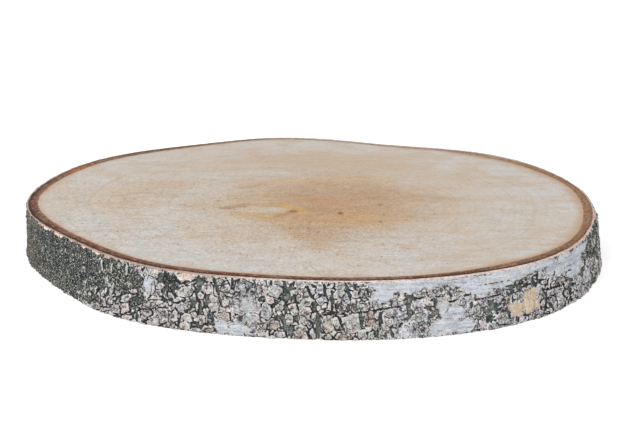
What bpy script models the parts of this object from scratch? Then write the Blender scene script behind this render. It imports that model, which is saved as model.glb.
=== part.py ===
"""Birch wood slice: a disc sawn across a birch trunk, with its ring of fissured bark.

Metres, +Z up. The slice lies on its sawn base at z = 0, and the origin is at the middle of its box.
Angles are in degrees, anticlockwise from +X round the middle of the outline; the side that is seen
first faces -Y.
"""
import math
import random

import bmesh
import bpy
from mathutils import Vector
from mathutils.kdtree import KDTree

# Driving sizes
MEAN_RADIUS = 0.150
THICKNESS = 0.028
BARK_WIDTH = 0.0070
PART_GAP = 0.0003

# The trunk is not round: how many times each wave runs round it, its height, and where it crests
OUTLINE_WAVES = (
    (2, 0.0079, -21),
    (3, 0.0014, 45),
    (4, 0.0008, 31),
    (5, 0.0025, 28),
    (6, 0.0007, -23),
    (7, 0.0012, -10),
    (8, 0.0010, 6),
)
# and where it is flatter than that: the middle of the stretch, how much it loses, half width in degrees
OUTLINE_FLATS = (
    (82, 0.0026, 58),
)

# The bark stands further out below the top rim: everywhere, and more or less in some directions,
# each given by its middle, how much it adds and its half width in degrees
SIDE_FLARE = 0.0024
SIDE_BULGES = (
    (-178, -0.0010, 12),
    (-137, 0.0036, 17),
    (-12, 0.0028, 18),
)
SHOULDER_ROUNDNESS = 0.45

# Plates and fissures of the bark
PLATE_WIDTH = 0.0120
PLATE_HEIGHT = 0.0092
PLATE_LIFT = 0.0006
FISSURE_WIDTH = 0.0042
FISSURE_DEPTH = 0.0026
PLATE_SEED = 23

# Where the bark is smooth and papery instead: middle, half width in degrees, height of its lower edge
SMOOTH_PATCHES = (
    (-58, 16, 0.013),
    (-106, 5, 0.014),
    (-30, 7, 0.010),
    (58, 26, 0.010),
    (140, 18, 0.014),
)
SMOOTH_EDGE = 0.004

# Facets
WOOD_SEGMENTS = 180
BARK_SEGMENTS = 360
BARK_ROWS = 11

WOOD_COLOUR = (0.61, 0.54, 0.46, 1.0)
WOOD_ROUGHNESS = 0.72
BARK_COLOUR = (0.36, 0.35, 0.32, 1.0)
BARK_ROUGHNESS = 0.88


def smoothstep(low, high, value):
    """0 below low, 1 above high, and an even S between them."""
    part = min(1.0, max(0.0, (value - low) / (high - low)))
    return part * part * (3.0 - 2.0 * part)


def turn_between(angle, middle):
    """The shorter turn from one direction to another, in degrees."""
    return (angle - middle + 180.0) % 360.0 - 180.0


def hump(angle, middle, half_width):
    """A round hump that is 1 in its middle direction and dies out past its half width."""
    return math.exp(-(turn_between(angle, middle) / half_width) ** 2)


def rim_radius(angle):
    """Distance from the middle of the outline to the outer edge of the sawn face."""
    waves = (height * math.cos(math.radians(count * (angle - crest)))
             for count, height, crest in OUTLINE_WAVES)
    flats = (depth * hump(angle, middle, half_width) for middle, depth, half_width in OUTLINE_FLATS)
    return MEAN_RADIUS + sum(waves) - sum(flats)


def wood_radius(angle):
    """Distance from the middle of the outline to the middle of the gap between wood and bark."""
    return rim_radius(angle) - BARK_WIDTH


def flare(angle, height):
    """How far the side of the bark stands outside the top rim."""
    most = SIDE_FLARE + sum(extra * hump(angle, middle, half) for middle, extra, half in SIDE_BULGES)
    return most * max(0.0, 1.0 - height / THICKNESS) ** SHOULDER_ROUNDNESS


def roughness(angle, height):
    """1 where the bark is broken into plates, and near 0 on its smooth papery patches."""
    rough = 1.0
    for middle, half_width, lower_edge in SMOOTH_PATCHES:
        reach = hump(angle, middle, half_width)
        above = smoothstep(lower_edge - SMOOTH_EDGE, lower_edge + SMOOTH_EDGE, height)
        rough *= 1.0 - 0.85 * reach * above
    return rough


def on_side(angle, height):
    """The point of a plain round trunk at this direction and height."""
    turn = math.radians(angle)
    return Vector((MEAN_RADIUS * math.cos(turn), MEAN_RADIUS * math.sin(turn), height))


def plate_middles():
    """Middles of the bark plates, in staggered rows round the trunk, and how far each stands out."""
    draw = random.Random(PLATE_SEED)
    columns = round(2.0 * math.pi * MEAN_RADIUS / PLATE_WIDTH)
    rows = math.ceil(THICKNESS / PLATE_HEIGHT) + 2
    tree = KDTree(columns * rows)
    lifts = []
    for row in range(rows):
        for column in range(columns):
            across = column + 0.5 * (row % 2) + draw.uniform(-0.35, 0.35)
            height = (row - 0.5 + draw.uniform(-0.35, 0.35)) * PLATE_HEIGHT
            tree.insert(on_side(360.0 * across / columns, height), len(lifts))
            lifts.append(draw.uniform(-PLATE_LIFT, PLATE_LIFT))
    tree.balance()
    return tree, lifts


def bark_relief(angle, height, plates):
    """How far the bark's surface stands outside its plain side: raised plates, sunk fissures."""
    tree, lifts = plates
    (_, nearest, reach), (_, _, next_reach) = tree.find_n(on_side(angle, height), 2)
    sunk = 1.0 - smoothstep(0.0, FISSURE_WIDTH, next_reach - reach)
    return roughness(angle, height) * (lifts[nearest] - FISSURE_DEPTH * sunk)


def make_material(name, colour, rough):
    material = bpy.data.materials.new(name)
    material.use_nodes = True
    shader = material.node_tree.nodes["Principled BSDF"]
    shader.inputs["Base Color"].default_value = colour
    shader.inputs["Roughness"].default_value = rough
    shader.inputs["Metallic"].default_value = 0.0
    return material


def make_object(name, shape, material, collection):
    """Turns a finished bmesh into an object that is smooth all over but for its sawn edges."""
    bmesh.ops.recalc_face_normals(shape, faces=shape.faces)
    mesh = bpy.data.meshes.new(name)
    shape.to_mesh(mesh)
    shape.free()
    mesh.materials.append(material)
    mesh.shade_smooth()
    mesh.set_sharp_from_angle(angle=math.radians(60.0))
    piece = bpy.data.objects.new(name, mesh)
    collection.objects.link(piece)
    return piece


def wood_shape():
    """A flat-ended disc whose wall follows the trunk's outline, just inside the bark."""
    shape = bmesh.new()
    bmesh.ops.create_cone(shape, cap_ends=True, segments=WOOD_SEGMENTS, radius1=MEAN_RADIUS,
                          radius2=MEAN_RADIUS, depth=THICKNESS)
    for corner in shape.verts:
        turn = math.atan2(corner.co.y, corner.co.x)
        radius = wood_radius(math.degrees(turn)) - PART_GAP / 2.0
        corner.co.x = radius * math.cos(turn)
        corner.co.y = radius * math.sin(turn)
        corner.co.z += THICKNESS / 2.0
    return shape


def bark_profile():
    """Cut through the ring: up its inner wall, then down its outer side row by row."""
    inner = MEAN_RADIUS - BARK_WIDTH
    heights = [THICKNESS * (1.0 - row / BARK_ROWS) for row in range(BARK_ROWS + 1)]
    points = [(inner, 0.0), (inner, THICKNESS)]
    points += [(MEAN_RADIUS, height) for height in heights]
    return points


def bark_shape():
    """The profile spun round the trunk, then every corner moved out to the uneven bark."""
    shape = bmesh.new()
    corners = [shape.verts.new((radius, 0.0, height)) for radius, height in bark_profile()]
    loop = [shape.edges.new(pair) for pair in zip(corners, corners[1:] + corners[:1])]
    bmesh.ops.spin(shape, geom=corners + loop, axis=(0.0, 0.0, 1.0), cent=(0.0, 0.0, 0.0),
                   angle=2.0 * math.pi, steps=BARK_SEGMENTS, use_merge=True)
    plates = plate_middles()
    for corner in shape.verts:
        height = corner.co.z
        turn = math.atan2(corner.co.y, corner.co.x)
        angle = math.degrees(turn)
        if math.hypot(corner.co.x, corner.co.y) < MEAN_RADIUS - BARK_WIDTH / 2.0:
            radius = wood_radius(angle) + PART_GAP / 2.0
        else:
            radius = rim_radius(angle) + flare(angle, height) + bark_relief(angle, height, plates)
        corner.co.x = radius * math.cos(turn)
        corner.co.y = radius * math.sin(turn)
    return shape


def centre_on_box(pieces, widest):
    """Moves the pieces so that the widest one's box has its middle over the origin."""
    corners = [vertex.co for vertex in widest.data.vertices]
    for axis in (0, 1):
        along = [corner[axis] for corner in corners]
        middle = (min(along) + max(along)) / 2.0
        for piece in pieces:
            piece.location[axis] = -middle


def build():
    for old in list(bpy.data.objects):
        bpy.data.objects.remove(old)
    collection = bpy.data.collections.new("birch_wood_slice")
    bpy.context.scene.collection.children.link(collection)
    wood_look = make_material("sawn_birch_wood", WOOD_COLOUR, WOOD_ROUGHNESS)
    bark_look = make_material("birch_bark", BARK_COLOUR, BARK_ROUGHNESS)
    wood = make_object("wood", wood_shape(), wood_look, collection)
    bark = make_object("bark", bark_shape(), bark_look, collection)
    centre_on_box((wood, bark), bark)


build()
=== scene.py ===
"""Looks of the birch wood slice: sawn wood, the ring of inner bark, and the plated outer bark.

Metres, +Z up. Angles are in degrees, anticlockwise from +X round the middle of the outline, and the
side that is seen first faces -Y. Heights are above the base that the slice lies on.
"""
import math

import bmesh
import bpy
import numpy as np
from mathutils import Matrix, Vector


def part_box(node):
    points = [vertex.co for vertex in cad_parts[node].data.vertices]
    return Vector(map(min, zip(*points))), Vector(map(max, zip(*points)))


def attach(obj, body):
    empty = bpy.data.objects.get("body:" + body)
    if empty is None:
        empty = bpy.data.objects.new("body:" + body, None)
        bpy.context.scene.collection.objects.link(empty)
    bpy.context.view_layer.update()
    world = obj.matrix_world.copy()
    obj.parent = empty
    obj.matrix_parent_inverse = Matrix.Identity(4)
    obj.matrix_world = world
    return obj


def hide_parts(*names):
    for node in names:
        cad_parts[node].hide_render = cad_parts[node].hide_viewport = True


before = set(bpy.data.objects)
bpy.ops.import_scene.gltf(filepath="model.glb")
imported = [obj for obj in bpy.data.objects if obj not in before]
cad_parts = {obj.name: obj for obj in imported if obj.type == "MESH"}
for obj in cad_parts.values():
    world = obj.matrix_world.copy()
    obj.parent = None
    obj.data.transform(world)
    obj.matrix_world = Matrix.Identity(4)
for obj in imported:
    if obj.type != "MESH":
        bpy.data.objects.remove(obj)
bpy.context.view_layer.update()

MM = 0.001

# The slice, as its solids have it
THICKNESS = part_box("bark")[1][2]
MEAN_RADIUS = 150 * MM
BARK_WIDTH = 7.0 * MM
OUTLINE_WAVES = (
    (2, 7.9 * MM, -21),
    (3, 1.4 * MM, 45),
    (4, 0.8 * MM, 31),
    (5, 2.5 * MM, 28),
    (6, 0.7 * MM, -23),
    (7, 1.2 * MM, -10),
    (8, 1.0 * MM, 6),
)
OUTLINE_FLATS = (
    (82, 2.6 * MM, 58),
)
SIDE_FLARE = 2.4 * MM
SIDE_BULGES = (
    (-178, -1.0 * MM, 12),
    (-137, 3.6 * MM, 17),
    (-12, 2.8 * MM, 18),
)
SHOULDER_ROUNDNESS = 0.45
GIRTH = 2.0 * math.pi * MEAN_RADIUS

# The ring of bark on the cut face, round the slice: direction, how far inside the rim the wood ends and
# how wide the pale cork is, both in millimetres, and how pale the brown inner bark is between them,
# from 0 to 1
RING = (
    (-180, 6.2, 1, 0.1), (-165, 7, 0.8, 0.05), (-150, 5.6, 0.9, 0), (-130, 6.6, 1.6, 0),
    (-110, 7, 2.4, 0.05), (-90, 6.6, 2.2, 0.1), (-70, 6.3, 2.2, 0), (-50, 7.8, 2, 0.05),
    (-30, 5.3, 1.4, 0.25), (-15, 5.6, 0.7, 0.5), (0, 5.6, 0.8, 0.45), (8, 5.2, 1, 0.5),
    (16, 5.6, 0.9, 0.45), (24, 7.4, 1.5, 0.5), (32, 8.6, 2.2, 0.7), (40, 10.2, 3.1, 0.8),
    (48, 9.4, 2.4, 0.7), (56, 7.2, 2.2, 0.9), (72, 6, 2, 1), (80, 5.6, 1.9, 1), (88, 7.2, 3.8, 1),
    (104, 5.6, 1.4, 0.55), (120, 6.4, 1.2, 0.4), (128, 7.2, 1.1, 0.3), (136, 8.2, 1.4, 0.2),
    (144, 8.4, 1.8, 0.3), (160, 7.8, 1.6, 0.2), (168, 7, 1.5, 0.2),
)
WOOD_END, CORK_WIDTH, PALENESS = 1, 2, 3

# How much lower than the wood the softer layers are worn, how far they lap under their neighbours, and
# how far the bark's sawn edges are rounded off
INNER_BARK_DROP = 0.12 * MM
CORK_DROP = 0.3 * MM
LAP = 1.0 * MM
BEVEL = 0.15 * MM

# The middle of the growth rings, from the middle of the outline, roughly how many there are, and how
# far the sawn face is worn
PITH = (3.0 * MM, -31.0 * MM)
GROWTH_RINGS = 52
FACE_WEAR = 0.06 * MM
# Dips where the pith has shrunk, in millimetres: place, size and depth
PITH_DIPS = ((-10.6, -28.6, 2.4, 0.12), (14.8, -32.0, 2.2, 0.1))

# The bark's plates and the shards that they break into, how far the borders of both wander, and how
# far a plate's middle strays over the cell that it lies in
PLATE_WIDTH, PLATE_HEIGHT = 5.4 * MM, 4.8 * MM
SHARD_WIDTH, SHARD_HEIGHT = 2.3 * MM, 1.9 * MM
PLATE_WANDER, SHARD_WANDER = 0.9 * MM, 0.5 * MM
PLATE_STRAY = 0.86

# How far the bark's surfaces stand outside its plain side, and how far plates differ in it, in
# millimetres
FISSURE_RISE = -1.15
CRACK_RISE = -1.0
MOSS_RISE = -0.6
PEACH_RISE = -0.5
CHIP_RISE = -0.35
SCAR_RISE = 0.1
PAPER_RISE = 0.3
PLATE_SPREAD = 0.7

# How far the edges of wood and cork waver on the cut face, and how high the inner bark's crumbs are
WOOD_WAVER = 0.25 * MM
CORK_WAVER = 0.35 * MM
CRUMB_HEIGHT = 0.1 * MM

# Facets of the visible meshes, and where the inner bark's rows of corners lie between its edges
BARK_STEPS = 1640
BARK_ROWS = 50
RING_STEPS = 960
WOOD_STEPS = 480
WOOD_ROWS = 48
INNER_BARK_SHARES = (0.0, 0.12, 0.18, 0.34, 0.5, 0.66, 0.82, 0.88, 1.0)


# Random draws and soft noise on the unrolled side

SEED = 11
DRAWS = np.random.default_rng(SEED).random(65536)


def chance(column, row, draw):
    """A draw from 0 to 1 for each cell of a lattice, the same on each run. The factors are primes, so
    that cells side by side draw from places far apart."""
    return DRAWS[(column * 7919 + row * 104729 + draw * 1299709) % DRAWS.size]


def ease(low, high, value):
    """0 below low, 1 above high, and an even S between them."""
    part = np.clip((value - low) / (high - low), 0.0, 1.0)
    return part * part * (3.0 - 2.0 * part)


def blend(share, first, second):
    """The first value turned into the second by the share."""
    return first * (1.0 - share) + second * share


def noise(across, up, grain, draw, tall=1.0):
    """Soft waves from -1 to 1 that meet round the trunk: grain long, and tall times as high."""
    columns = max(3, round(GIRTH / grain))
    x, y = across * columns / GIRTH, up / (grain * tall)
    column, row = np.floor(x).astype(int), np.floor(y).astype(int)
    east, north = ease(0.0, 1.0, x - column), ease(0.0, 1.0, y - row)

    def along(line):
        return blend(east, chance(column % columns, line, draw), chance((column + 1) % columns, line, draw))

    return 2.0 * blend(north, along(row), along(row + 1)) - 1.0


def rough_noise(across, up, grain, draw, tall=1.0):
    """Noise with two finer layers on it."""
    coarse = noise(across, up, grain, draw, tall)
    finer = noise(across, up, grain / 2.1, draw + 1, tall)
    finest = noise(across, up, grain / 4.3, draw + 2, tall)
    return coarse * 0.57 + finer * 0.29 + finest * 0.14


def around(reach):
    """The steps to the cells round a cell, and to itself, column by column."""
    steps = range(-reach, reach + 1)
    return [(east, north) for east in steps for north in steps]


def broken_into_plates(across, up, width, height, draw):
    """Plates with straight borders: each point's distance to its plate's border, the plate's own draw,
    and how far the point lies from the plate's middle, across and up."""
    columns = round(GIRTH / width)
    x, y = across * columns / GIRTH, up / height
    column, row = np.floor(x).astype(int), np.floor(y).astype(int)

    def middle(east, north):
        cell, line = (column + east) % columns, row + north
        off_x = east + 0.5 + PLATE_STRAY * (chance(cell, line, draw) - 0.5) - (x - column)
        off_y = north + 0.5 + PLATE_STRAY * (chance(cell, line, draw + 1) - 0.5) - (y - row)
        return off_x * width, off_y * height, chance(cell, line, draw + 2)

    nearest = np.full(x.shape, np.inf)
    own_x, own_y, own = np.zeros(x.shape), np.zeros(x.shape), np.zeros(x.shape)
    for east, north in around(1):
        off_x, off_y, own_draw = middle(east, north)
        reach = off_x ** 2 + off_y ** 2
        closer = reach < nearest
        nearest = np.where(closer, reach, nearest)
        own_x, own_y, own = (np.where(closer, new, old) for new, old in
                             ((off_x, own_x), (off_y, own_y), (own_draw, own)))
    border = np.full(x.shape, np.inf)
    for east, north in around(2):
        off_x, off_y, _ = middle(east, north)
        gap_x, gap_y = off_x - own_x, off_y - own_y
        gap = np.hypot(gap_x, gap_y)
        halfway = ((own_x + off_x) * gap_x + (own_y + off_y) * gap_y) / 2.0 / np.maximum(gap, 1e-9)
        border = np.where(gap > 1e-7, np.minimum(border, halfway), border)
    return border, own, -own_x, -own_y


# The trunk's form

def turn_between(angle, middle):
    """The shorter turn from one direction to another, in degrees."""
    return (angle - middle + 180.0) % 360.0 - 180.0


def hump(angle, middle, half_width):
    """1 in its middle direction, and dying out past its half width."""
    return np.exp(-(turn_between(angle, middle) / half_width) ** 2)


def rim_radius(angle):
    """Distance from the middle of the outline to the outer edge of the sawn face."""
    waves = sum(height * np.cos(np.radians(count * (angle - crest)))
                for count, height, crest in OUTLINE_WAVES)
    flats = sum(depth * hump(angle, middle, half) for middle, depth, half in OUTLINE_FLATS)
    return MEAN_RADIUS + waves - flats


def round_the_ring(angle, value):
    """The value in that place of the RING rows, evenly between them."""
    return np.interp(angle, [row[0] for row in RING], [row[value] for row in RING], period=360.0)


def flare(angle, height):
    """How far the side of the bark stands outside the top rim."""
    most = SIDE_FLARE + sum(extra * hump(angle, middle, half) for middle, extra, half in SIDE_BULGES)
    return most * np.clip(1.0 - height / THICKNESS, 0.0, 1.0) ** SHOULDER_ROUNDNESS


def outline_middle():
    """Where the middle of the outline lies in the frame: the wood's box there against the formula's."""
    low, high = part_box("wood")
    turns = np.radians(np.arange(0.0, 360.0, 0.25))
    radius = rim_radius(np.degrees(turns)) - BARK_WIDTH
    places = []
    for axis, way in enumerate((np.cos(turns), np.sin(turns))):
        along = radius * way
        places.append((low[axis] + high[axis] - along.min() - along.max()) / 2.0)
    return np.array(places)


MIDDLE = outline_middle()


# The bark as the front shows it. Angles are in degrees; heights, widths and half sizes in millimetres.

# Smooth papery stretches: angle, height, half turn in degrees, half height
PAPER_SPOTS = (
    (-76.6, 25.6, 3.4, 3.2), (-77.3, 21.2, 2.2, 2.6), (-73, 25.6, 2.6, 3.4), (-69.4, 26.8, 3, 2.8),
    (-64, 26.4, 4, 2.6), (-59.4, 22.6, 3.6, 4.8), (-55.6, 24, 3.6, 4.2), (-51, 25.6, 3.6, 3.4),
    (-46.5, 26.4, 3.6, 2.6), (-43.6, 23.6, 1.6, 3.6), (-39.6, 23, 3.8, 4.8), (-36, 20.5, 3.4, 6.4),
    (-32.8, 25, 2.6, 2.6), (-64.6, 10.6, 2, 4.4), (-66.4, 4.4, 3, 3.8), (-62.6, 4, 2.2, 3.4),
    (-66.6, 14.2, 0.8, 2.6), (-103.4, 3.4, 2.6, 2.6), (-106.6, 4.2, 1.2, 3.2), (-121.7, 19.4, 0.9, 3.6),
    (-29.3, 8.6, 1.1, 2.8), (22, 18, 9, 9), (58, 20, 22, 8.5), (84, 7, 7, 6), (128, 21, 13, 7.5),
    (150, 8, 4, 6),
)
# Moss, and where it is dark, damp and nearly bare of flakes, in the same way
MOSS_SPOTS = (
    (-161, 13, 25.5, 19), (-137.2, 21, 2.6, 9), (-141.5, 24.5, 5, 5), (-128.4, 16.4, 2, 4),
    (-124.3, 20.5, 1.3, 4.6), (-131.6, 21.5, 2.8, 5.5), (-126.8, 20.6, 2.9, 6.4), (-123.4, 13, 1.2, 4),
    (-117.2, 23.6, 2.3, 4.2), (-4, 14, 8.5, 17), (-26.4, 20.6, 4.2, 6.4), (-19, 15, 5.6, 13),
    (-32, 12.4, 1.5, 2.6), (-25, 3, 3, 2.6), (-134, 15.6, 2.2, 2.6), (-125.2, 8.2, 1.3, 2.2),
    (167, 10, 8, 11), (103, 5, 9, 9), (38, 4, 8, 6),
)
DAMP_SPOTS = (
    (-155.6, 21, 5, 6), (-149, 14.2, 4, 5), (-142.2, 14, 3.6, 7), (-143, 5, 2.6, 4), (-138, 20, 2.6, 5),
    (-117, 23.8, 2.4, 4), (163, 6, 4, 4),
)
# Where the fissures between the plates are wide
OPEN_SPOTS = (
    (-131.6, 12, 5.5, 8), (-124.4, 9, 1.8, 6), (-118.4, 22.6, 1.8, 5), (-126, 5, 3, 3),
    (-110.4, 14, 2.4, 12), (-95, 14, 2, 14), (-89, 8, 1.6, 10), (-72.6, 16, 1.2, 8), (-68.4, 14, 1.6, 5),
    (-57.6, 9, 1.8, 6), (-52.2, 18.6, 2.6, 2.6), (-48.4, 18, 1.8, 3.6), (-44, 9, 2.6, 7),
    (-37.6, 8, 2.2, 7), (-20, 12, 5, 12), (5, 12, 4, 12), (76, 16, 5, 12), (112, 18, 7, 10),
)
# Where the outermost layers have come off, and the healed scars
PEACH_SPOTS = (
    (-158.6, 27.6, 3, 0.9), (-152, 27.4, 2, 0.8), (-120.6, 26.6, 0.7, 1.2), (-114.4, 26.2, 1.7, 1.7),
    (-33.6, 17.2, 0.7, 1.1), (-21.4, 8.6, 0.9, 2.6), (31, 26.6, 2.4, 1.6), (95, 26.8, 3, 1.4),
    (140, 3, 1.8, 2.4),
)
SCAR_SPOTS = (
    (-49.2, 11.4, 1.7, 4.4), (-48.4, 7.4, 1.4, 3), (-50.6, 8.6, 0.9, 1.8), (-52.8, 7.6, 0.9, 3.2),
    (-51.6, 5, 0.7, 1.6), (67, 9, 2, 4),
)

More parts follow.
